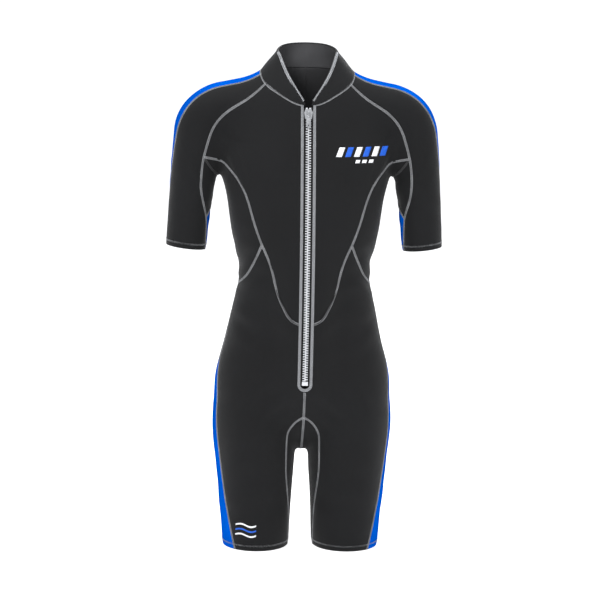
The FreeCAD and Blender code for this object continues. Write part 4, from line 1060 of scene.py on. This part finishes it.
    def rise(self, p: Points, near: Points) -> Points:
        """Height of the cloth above the worn form at a distance from a seam."""
        puff = self.PUFF * (1 - np.exp(-near / self.PUFF_REACH)) - self.SEAM_DIP
        return puff + fold_height(p) * np.clip(near / 14, 0.12, 1)

    def raise_cloth(self, grid: Points) -> tuple[Points, Points]:
        """Slot, puff and folds for a grid; returns points and cloth distances."""
        n, m = grid.shape[:2]
        flat = self.form.slotted(grid.reshape(-1, 3))
        lengths = arc_lengths(flat.reshape(n, m, 3))
        near = edge_distance(lengths).reshape(-1)
        out = flat + self.form.normal(flat) * self.rise(flat, near)[:, None]
        return out.reshape(n, m, 3), lengths

    def sew(self, name: str, grid: Points, material: bpy.types.Material, slot: str,
            node: str) -> bpy.types.Object:
        """Make one panel piece from its grid."""
        points, lengths = self.raise_cloth(grid)
        n, m = points.shape[:2]
        outward = self.form.normal(grid[n // 2, m // 2][None])[0]
        bm = lattice(points, lengths, outward)
        obj = finish_object(bm, name, [material, self.palette.lining])
        thicken(obj, SKIN, lined=True)
        round_edges(obj, 0.4, 2)
        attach(obj, "suit")
        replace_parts(obj, node)
        LOG.info("panel %s: %d by %d", name, n, m)
        return obj

    def build(self) -> list[bpy.types.Object]:
        """Every panel on both sides."""
        black, blue = (self.palette.black, "neoprene_black"), (self.palette.blue, "neoprene_blue")
        pairs = [("front_panel", self.front_panel(), black), ("side_panel", self.side_panel(), black),
                 ("side_back_panel", self.side_back_panel(), black),
                 ("thigh_front", self.thigh(True), black), ("thigh_back", self.thigh(False), black),
                 ("outer_thigh", self.outer_thigh(), blue), ("inner_thigh", self.inner_thigh(), black),
                 ("sleeve_front", self.sleeve_front(), black),
                 ("shoulder_panel", self.shoulder_panel(), blue),
                 ("underarm_panel", self.underarm_panel(), black)]
        out = []
        for name, grid, (material, slot) in pairs:
            for side, points in (("left", grid), ("right", mirror(grid))):
                out.append(self.sew(f"{name}_{side}_cloth", points, material, slot, f"{name}_{side}"))
        out.append(self.sew("back_panel_cloth", self.back_panel(), *black, "back_panel"))
        return out


# ------------------------------------------------------------------ seams
@dataclass(frozen=True)
class Course:
    """One run of stitching along the suit."""

    name: str
    path: Points
    closed: bool = False


class Stitcher:
    """Lays flat seams, hem stitching and the zip's borders on the cloth."""

    WIDE = 2.6
    BED_STEP = 3.2
    PITCH = 2.9
    THREAD = 0.27
    NEEDLE = 0.25
    BORDER_MID, BORDER_OUT = 11.0, 13.0
    BORDER_TURNS = 760
    ACROSS = np.array((-1.0, -0.62, 0.0, 0.62, 1.0))

    def __init__(self, cloth: Cloth) -> None:
        self.cloth, self.form = cloth, cloth.form
        self.pattern, self.palette = cloth.pattern, cloth.palette

    def axes(self, path: Points, closed: bool = False) -> tuple[Points, Points]:
        """Sideways and outward directions along a path."""
        out = self.form.normal(path)
        return unit(np.cross(unit(run_direction(path, closed)), out)), out

    def at(self, path: Points, side: Points, out: Points, u: float, height: float,
           near: Optional[float] = None) -> Points:
        """Points beside a path, riding on the cloth.

        Args:
            path: Centre line on the worn form.
            side: Sideways directions.
            out: Outward directions.
            u: Distance to the side.
            height: Height above the cloth.
            near: Distance from the nearest seam, or None for the distance to the side.

        Returns:
            The moved points.
        """
        base = self.form.settle(path + side * u, rounds=3)
        eased = (np.abs(path[:, :1]) < ZIP_FADE + 2) & (path[:, 1:2] < FRONT_Y + 2)
        base = np.where(eased, path + side * u, base)
        reach = np.full(len(path), abs(u) if near is None else near)
        return base + out * (self.cloth.rise(base, reach) + height)[:, None]

    def dome(self, u: float) -> float:
        """Height of the thread bed at a distance from its middle."""
        return 0.72 * (1 - abs(u / self.WIDE) ** 2.2) - 0.16

    def ribbon(self, course: Course, yarn: Yarn) -> bpy.types.Object:
        """Domed bed of thread over one seam."""
        path = even(course.path, max(int(run_length(course.path) / self.BED_STEP), 8))
        if course.closed:
            path = path[:-1]
        side, out = self.axes(path, course.closed)
        rows = []
        for a in self.ACROSS:
            rows.append(self.at(path, side, out, a * self.WIDE, self.dome(a * self.WIDE)))
        return self.tape(f"seam_{course.name}", rows, self.ACROSS * self.WIDE, path,
                         out[len(path) // 2], yarn, 0.5)

    def tape(self, name: str, rows: Sequence[Points], across: Sequence[float], guide: Points,
             outward: Points, yarn: Yarn, depth: float = 0.4) -> bpy.types.Object:
        """Narrow sheet of thread laid through parallel rows of points.

        Args:
            name: Piece name.
            rows: Rows of points, one edge to the other.
            across: Distance of each row from the middle of the seam.
            guide: Row that measures the length.
            outward: Direction that the middle of the sheet faces.
            yarn: Colour of the thread.
            depth: Thickness in millimetres.

        Returns:
            The new piece, not yet sewn to a body.
        """
        along = along_run(guide)
        uv = np.stack([np.tile(np.array(across), (len(along), 1)),
                       np.tile(along[:, None], (1, len(rows)))], axis=2)
        bm = lattice(np.stack(rows, axis=1), uv, outward)
        obj = finish_object(bm, name, [self.palette.beds[yarn]])
        thicken(obj, depth)
        return obj

    def edge_stitch(self, name: str, inner: Points, outer: Points, lift: Points, heights: tuple,
                    yarn: Yarn) -> bpy.types.Object:
        """Zigzag between two edge rows with a needle line along each.

        Args:
            name: Piece name.
            inner: Points of the first needle line.
            outer: Points of the second needle line.
            lift: Outward directions at the points.
            heights: Height of the zigzag and of the needle lines over the rows.
            yarn: Colour of the thread.

        Returns:
            The new piece, not yet sewn to a body.
        """
        bm = bmesh.new()
        bm.loops.layers.uv.new("UVMap")
        pick = (np.arange(len(inner)) % 2)[:, None]
        add_thread(bm, np.where(pick == 0, inner, outer) + lift * heights[0], self.THREAD, lift)
        for line in (inner, outer):
            add_thread(bm, line + lift * heights[1], self.NEEDLE, lift)
        return finish_object(bm, name, [self.palette.threads[yarn]])

    def zigzag(self, course: Course, yarn: Yarn, half: float = 1.9, lift: float = 0.14,
               near: Optional[float] = None) -> bpy.types.Object:
        """Zigzag looper thread with a needle line down each side."""
        length = run_length(course.path)
        turns = max(int(length / self.PITCH) * 2, 6)
        path = even(course.path, turns + 1)
        if course.closed:
            path = path[:-1]
        side, out = self.axes(path, course.closed)
        height = lift + (self.dome(half) if near is None else 0.0)
        left = self.at(path, side, out, half, height, near)
        right = self.at(path, side, out, -half, height, near)
        pick = (np.arange(len(path)) % 2)[:, None]
        bm = bmesh.new()
        bm.loops.layers.uv.new("UVMap")
        add_thread(bm, np.where(pick == 0, left, right), self.THREAD, out, course.closed)
        if near is None:
            for line in (left, right):
                add_thread(bm, line, self.THREAD * 0.9, out, course.closed)
        return finish_object(bm, f"stitch_{course.name}", [self.palette.threads[yarn]])

    def attach(self, obj: bpy.types.Object, slot: str = "neoprene_black") -> bpy.types.Object:
        """Sew a piece to the suit."""
        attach(obj, "suit")
        return obj

    def courses(self) -> list[Course]:
        """Every panel seam, both sides."""
        p = self.pattern
        inner = [("raglan", p.raglan.dense), ("shoulder", p.shoulder.dense),
                 ("back_raglan", p.back_raglan.dense), ("armhole", p.armhole.dense),
                 ("side", p.side.dense), ("slant", p.slant.dense), ("back_slant", p.back_slant.dense),
                 ("hip", p.hip.dense), ("blue_front", p.blue.dense), ("blue_back", p.back_blue.dense),
                 ("gusset_front", p.gusset.dense), ("gusset_back", p.back_gusset.dense),
                 ("princess", self.outside(self.form.slotted(p.princess.dense), self.BORDER_OUT)),
                 ("neck", self.outside(p.neck.dense, self.BORDER_MID))]
        out = []
        for name, path in inner:
            out.append(Course(f"{name}_left", path))
            out.append(Course(f"{name}_right", mirror(path)))
        low = p.back_princess.dense
        out.append(Course("seat_yoke", np.vstack([low, mirror(low)[::-1][1:]])))
        front = p.centre_front.dense
        out.append(Course("centre_front", front[front[:, 2] < ZIP_END[1] - 5]))
        out.append(Course("centre_back", p.centre_back.dense))
        out.append(Course("crotch", p.crotch.dense))
        return out

    @staticmethod
    def outside(path: Points, edge: float) -> Points:
        """The part of a seam that is behind, or further out than an edge."""
        return path[(path[:, 0] > edge) | (path[:, 1] > 0)]

    def hem_courses(self) -> list[Course]:
        """Closed rings of hem stitching."""
        p, t = self.pattern, np.linspace(0, 2 * math.pi, 181)
        ring = np.column_stack([89 + 68 * np.cos(t), 4 + 78 * np.sin(t), np.full(t.shape, HEM_LINE_UP)])
        leg = self.form.settle(ring + (0, 0, LEG_HEM_Z), (False, False, True), 8)
        raw = np.column_stack([232 + 38 * np.cos(t), 2 + 45 * np.sin(t), np.full(t.shape, 600.0)])
        cuff = self.form.settle(p.cuff(raw) + (0, 0, HEM_LINE_UP), (False, False, True), 6)
        out = []
        for name, path in (("leg_hem", leg), ("cuff", cuff)):
            out += [Course(f"{name}_left", path, True), Course(f"{name}_right", mirror(path), True)]
        return out

    def border_path(self, away: float) -> Points:
        """Line round the zip slot at a distance from its edge."""
        top, low = ZIP_TOP[1] + 1.0, ZIP_END[1] + SLOT_HALF
        z = np.linspace(top, low, 190)
        half = SLOT_HALF + away
        t = np.linspace(0, math.pi, 30)[1:-1]
        x = np.r_[np.full(190, half), half * np.cos(t), np.full(190, -half)]
        z = np.r_[z, low - half * np.sin(t), z[::-1]]
        guess = np.column_stack([x, self.form.zip_y(z), z])
        return self.form.fit(self.form.settle(guess, (True, False, True)))

    def border(self) -> list[bpy.types.Object]:
        """Grey bound edge round the zip, wrapped over the cut neoprene."""
        profile = ((0.15, -1.9), (-0.30, -0.9), (-0.25, 0.35), (0.7, 0.75), (2.3, 0.85), (4.0, 0.7),
                   (4.9, 0.05))
        rows, widths = [], []
        for away, height in profile:
            line = self.border_path(away)
            out = self.form.normal(line)
            out[:, 0] *= 0.3
            near = np.full(len(line), max(away, 0.0))
            rows.append(line + out * (self.cloth.rise(line, near) + height)[:, None])
            widths.append(away)
        band = self.tape("zip_border", rows, widths, rows[3], (0, -1, 0), Yarn.BORDER)
        lift = np.tile((0.0, -1.0, 0.0), (self.BORDER_TURNS, 1))
        sewing = self.edge_stitch("zip_border_stitch", even(rows[3], self.BORDER_TURNS),
                                  even(rows[5], self.BORDER_TURNS), lift, (0.28, 0.24), Yarn.BORDER)
        return [self.attach(band), self.attach(sewing)]

    def build(self) -> None:
        """Sew every seam, hem and border."""
        for course in self.courses():
            yarn = Yarn.EDGE if course.name.startswith("armhole") else Yarn.SEAM
            self.attach(self.ribbon(course, yarn))
            self.attach(self.zigzag(course, yarn))
        for course in self.hem_courses():
            self.attach(self.zigzag(course, Yarn.HEM, 1.7, 0.2, 10.0))
        self.border()
        LOG.info("seams: %d courses", len(self.courses()))


# ------------------------------------------------------------------ collar
class Collar:
    """Stand-up collar band, open at the front and bound along both ends."""

    ROWS = 17
    COLUMNS = 60
    STEP = 2.6
    TURN = 1.45
    AXIS = (0.0, 6.0, 0.0)
    TOP = ((9, -70, 893), (28, -62, 924), (44, -45, 954), (54, -21, 979), (57, 8, 987), (49, 36, 993),
           (29, 57, 997), (0, 65, 998))

    def __init__(self, stitcher: Stitcher) -> None:
        self.stitcher = stitcher
        self.palette = stitcher.palette
        self.pattern = stitcher.pattern

    def surface(self) -> Points:
        """Grid of the outer face, right front round the back to left front."""
        neck = self.pattern.neck.dense
        low = neck[(neck[:, 0] > COLLAR_FRONT) | (neck[:, 1] > 0)]
        first = neck[0] + (low[0] - neck[0]) * COLLAR_FRONT / max(low[0][0], COLLAR_FRONT)
        low = even(np.vstack([first, low]), self.COLUMNS)
        ctrl = np.array(self.TOP, float)
        ts = along_run(ctrl)
        high = even(natural_spline(ts, ctrl, np.linspace(0, ts[-1], 200)), self.COLUMNS)
        low = np.vstack([mirror(low), low[::-1][1:]])
        high = np.vstack([mirror(high), high[::-1][1:]])
        v = np.linspace(0, 1, self.ROWS)[:, None, None]
        grid = low[None] * (1 - v) + high[None] * v
        away = unit(grid * (1, 1, 0) - self.AXIS)
        turn = np.arctan2(grid[..., 0], -grid[..., 1])
        wave = 0.6 * np.sin(3 * turn + 4 * v[..., 0]) + 0.4 * np.sin(7 * turn + 1.0)
        belly = 0.9 * np.sin(math.pi * v[..., 0])
        return grid + away * (belly + wave * np.sin(math.pi * np.clip(v[..., 0] * 1.1, 0, 1)))[..., None]

    def band(self, grid: Points) -> bpy.types.Object:
        """The collar cloth with its lining."""
        n, m = grid.shape[:2]
        bm = lattice(grid, arc_lengths(grid), grid[n // 2, m // 2] * (1, 1, 0))
        obj = finish_object(bm, "collar_cloth", [self.palette.collar, self.palette.lining])
        thicken(obj, SKIN, lined=True)
        round_edges(obj, 0.8, 3)
        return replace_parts(self.stitcher.attach(obj, "neoprene_collar"), "collar")

    def binding(self, grid: Points, columns: slice, yarn: Yarn, name: str) -> None:
        """Stitched binding over one stretch of the free edge."""
        profile = ((1.2, -2.75), (-0.4, -2.45), (-0.7, -1.0), (-0.4, 0.35), (0.8, 0.6), (2.6, 0.6),
                   (4.2, 0.45), (4.9, -0.15))
        edge, nxt = grid[-1, columns], grid[-3, columns]
        inward, ahead = unit(nxt - edge), unit(run_direction(edge))
        inward = unit(inward - ahead * (inward * ahead).sum(1, keepdims=True))
        out = np.cross(ahead, inward)
        out *= np.where((out * (edge * (1, 1, 0) - self.AXIS)).sum(1) < 0, -1.0, 1.0)[:, None]
        count = max(int(run_length(edge) / self.STEP), 12)
        frame = [even(v, count) for v in (edge, inward, out)]
        rows = [frame[0] + frame[1] * a + frame[2] * h for a, h in profile]
        band = self.stitcher.tape(f"collar_binding_{name}", rows, [a for a, _ in profile], rows[4],
                                  frame[2][count // 2], yarn)
        self.stitcher.attach(band, "neoprene_collar")
        turns = max(int(run_length(edge) / self.TURN), 20)
        sewing = self.stitcher.edge_stitch(f"collar_stitch_{name}", even(rows[4], turns),
                                           even(rows[6], turns), even(frame[2], turns), (0.22, 0.18), yarn)
        self.stitcher.attach(sewing, "neoprene_collar")

    def build(self) -> None:
        """Collar and both bindings."""
        grid = self.surface()
        self.band(grid)
        corner = int(np.argmax(grid[-1, :self.COLUMNS, 1] > -8.0))
        last = grid.shape[1] - corner
        self.binding(grid, slice(0, corner + 1), Yarn.BORDER, "right")
        self.binding(grid, slice(last - 1, None), Yarn.BORDER, "left")
        self.binding(grid, slice(corner, last), Yarn.EDGE, "back")
        LOG.info("collar: %d by %d", *grid.shape[:2])


# ------------------------------------------------------------------ marks
class Marks:
    """Plain printed shapes on the chest and the thigh."""

    def __init__(self, cloth: Cloth) -> None:
        self.cloth = cloth

    def patch(self, name: str, outline: Outline, rows: int, columns: int,
              material: bpy.types.Material) -> None:
        """Thin print that follows the cloth.

        Args:
            name: Piece name.
            outline: Gives x and height for two numbers from 0 to 1.
            rows: Points up the patch.
            columns: Points across the patch.
            material: Ink.
        """
        cells = [[outline(j / (columns - 1), i / (rows - 1)) for j in range(columns)] for i in range(rows)]
        flat = np.array(cells, float).reshape(-1, 2)
        form = self.cloth.form
        guess = np.column_stack([flat[:, 0], np.full(len(flat), -95.0), flat[:, 1]])
        base = form.fit(form.settle(guess, (True, False, True)))
        rise = self.cloth.rise(base, np.full(len(base), 30.0)) + 0.12
        grid = (base + form.normal(base) * rise[:, None]).reshape(rows, columns, 3)
        obj = finish_object(lattice(grid, arc_lengths(grid), (0, -1, 0)), name, [material])
        thicken(obj, 0.1)
        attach(obj, "suit")

    @staticmethod
    def slanted(left: float, width: float, lean: float, low: float, tall: float) -> Outline:
        """Outline of a bar that leans outward."""
        return lambda u, v: (left + width * u + lean * v, low + tall * v)

    @staticmethod
    def wavy(low: float) -> Outline:
        """Outline of a wavy line across the thigh."""
        return lambda u, v: (-130 + 40 * u, low + 3.4 * v + 2.6 * math.sin(2 * math.pi * u))

    def build(self) -> None:
        """Slanted bars on the chest, three waves on the thigh."""
        white, blue = self.cloth.palette.white_ink, self.cloth.palette.blue_ink
        for k in range(6):
            self.patch(f"chest_bar_{k}", self.slanted(53 + 17.2 * k, 11, 7, 788, 18), 7, 5,
                       blue if k % 2 else white)
        for k in range(3):
            self.patch(f"chest_dash_{k}", self.slanted(90 + 13 * k, 8.5, 2, 776, 6), 3, 5, white)
        for k in range(3):
            self.patch(f"thigh_wave_{k}", self.wavy(38 + 10 * k), 3, 25, blue if k == 1 else white)
        LOG.info("marks: 12 printed shapes")


# ------------------------------------------------------------------ zip
class Zip:
    """Finishes the zip's own pieces."""

    TAPES = ("zipper_tape_left", "zipper_tape_right")
    MOULDED = ("zipper_teeth_left", "zipper_teeth_right", "zipper_bottom_stop", "zipper_top_stops")
    METAL = ("slider_body", "slider_bail", "pull_tab")

    def __init__(self, nodes: dict, palette: Palette) -> None:
        self.nodes, self.palette = nodes, palette

    def dress(self, names: Sequence[str], material: bpy.types.Material, width: float, steps: int) -> None:
        """Material and rounded edges for some nodes."""
        for name in names:
            node = self.nodes[name]
            node.data.materials.clear()
            node.data.materials.append(material)
            round_edges(node, width, steps, 40.0)

    def build(self) -> None:
        """Dress the tapes, teeth, stops, slider and tab."""
        self.dress(self.TAPES, self.palette.tape, 0.1, 1)
        self.dress(self.MOULDED, self.palette.teeth, 0.4, 2)
        self.dress(self.METAL, self.palette.plated, 0.3, 3)
        LOG.info("zip: %d nodes dressed", len(self.TAPES + self.MOULDED + self.METAL))


# ------------------------------------------------------------------ studio
@dataclass(frozen=True)
class Lamp:
    """One soft box of the studio."""

    name: str
    place: tuple[float, float, float]
    size: float
    power: float


class Studio:
    """Pale floor, soft boxes and camera."""

    AIM = Vector((-0.007, 0.0, -0.433))
    FLOOR_Z = -0.9232
    FLOOR_HALF = 60.0
    LAMPS = (Lamp("key", (-1.7, -2.4, 2.1), 1.4, 98.0), Lamp("fill", (2.2, -2.4, 0.8), 2.0, 34.0),
             Lamp("top", (0.0, -0.2, 2.6), 1.8, 80.0), Lamp("low", (0.2, -2.4, -0.7), 1.6, 12.0),
             Lamp("rear", (0.9, 2.8, 1.2), 1.8, 45.0))

    def floor(self) -> None:
        """Wide pale floor just under the leg hems."""
        bm = bmesh.new()
        bmesh.ops.create_grid(bm, x_segments=1, y_segments=1, size=self.FLOOR_HALF,
                              matrix=Matrix.Translation((0.0, 0.0, self.FLOOR_Z)), calc_uvs=True)
        kit = NodeKit("studio_floor")
        coords = kit.add("ShaderNodeTexCoord")
        cloudy = kit.noise(coords.outputs["Object"], 1.4, 2.0)
        tone = kit.ramp(cloudy.outputs["Fac"], [(0.2, (0.86, 0.86, 0.865)), (0.8, (0.90, 0.90, 0.905))])
        kit.link(tone.outputs["Color"], kit.shader.inputs["Base Color"])
        kit.shader.inputs["Roughness"].default_value = 0.9
        kit.shader.inputs["Emission Color"].default_value = (1.0, 1.0, 1.0, 1.0)
        kit.shader.inputs["Emission Strength"].default_value = 0.66
        finish_object(bm, "floor", [kit.material])

    def lamps(self) -> None:
        """Soft boxes aimed at the chest."""
        for lamp in self.LAMPS:
            data = bpy.data.lights.new(lamp.name, "AREA")
            data.size = lamp.size
            data.energy = lamp.power
            obj = bpy.data.objects.new(lamp.name, data)
            obj.location = lamp.place
            obj.rotation_euler = (self.AIM - Vector(lamp.place)).to_track_quat("-Z", "Y").to_euler()
            bpy.context.scene.collection.objects.link(obj)
        world = bpy.data.worlds.new("studio_air")
        world.use_nodes = True
        world.node_tree.nodes["Background"].inputs["Color"].default_value = (0.95, 0.97, 1.0, 1.0)
        world.node_tree.nodes["Background"].inputs["Strength"].default_value = 0.55
        bpy.context.scene.world = world
        bpy.context.scene.view_settings.view_transform = "Standard"

    def camera(self) -> None:
        """Camera a little above and to the wearer's right."""
        turn, rise, far = math.radians(-3.0), math.radians(8.5), 5.0
        away = Vector((math.sin(turn) * math.cos(rise), -math.cos(turn) * math.cos(rise), math.sin(rise)))
        data = bpy.data.cameras.new("view")
        data.lens, data.sensor_width = 152.7, 36.0
        cam = bpy.data.objects.new("view", data)
        face = (-away).to_track_quat("-Z", "Y").to_matrix()
        cam.matrix_world = (face @ Matrix.Rotation(math.radians(0.9), 3, "Z")).to_4x4()
        cam.location = self.AIM + away * far
        bpy.context.scene.collection.objects.link(cam)
        bpy.context.scene.camera = cam

    def build(self) -> None:
        """Set up the whole studio."""
        self.floor()
        self.lamps()
        self.camera()


# ------------------------------------------------------------------ scene
def main() -> None:
    """Build every piece of the suit in order."""
    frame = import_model()
    form = WornForm()
    palette = Palette.make()
    cloth = Cloth(form, Pattern(form), palette)
    cloth.build()
    stitcher = Stitcher(cloth)
    stitcher.build()
    Collar(stitcher).build()
    Marks(cloth).build()
    Zip(frame["nodes"], palette).build()
    Studio().build()


if __name__ == "__main__":
    logging.basicConfig(level=logging.INFO)
    main()
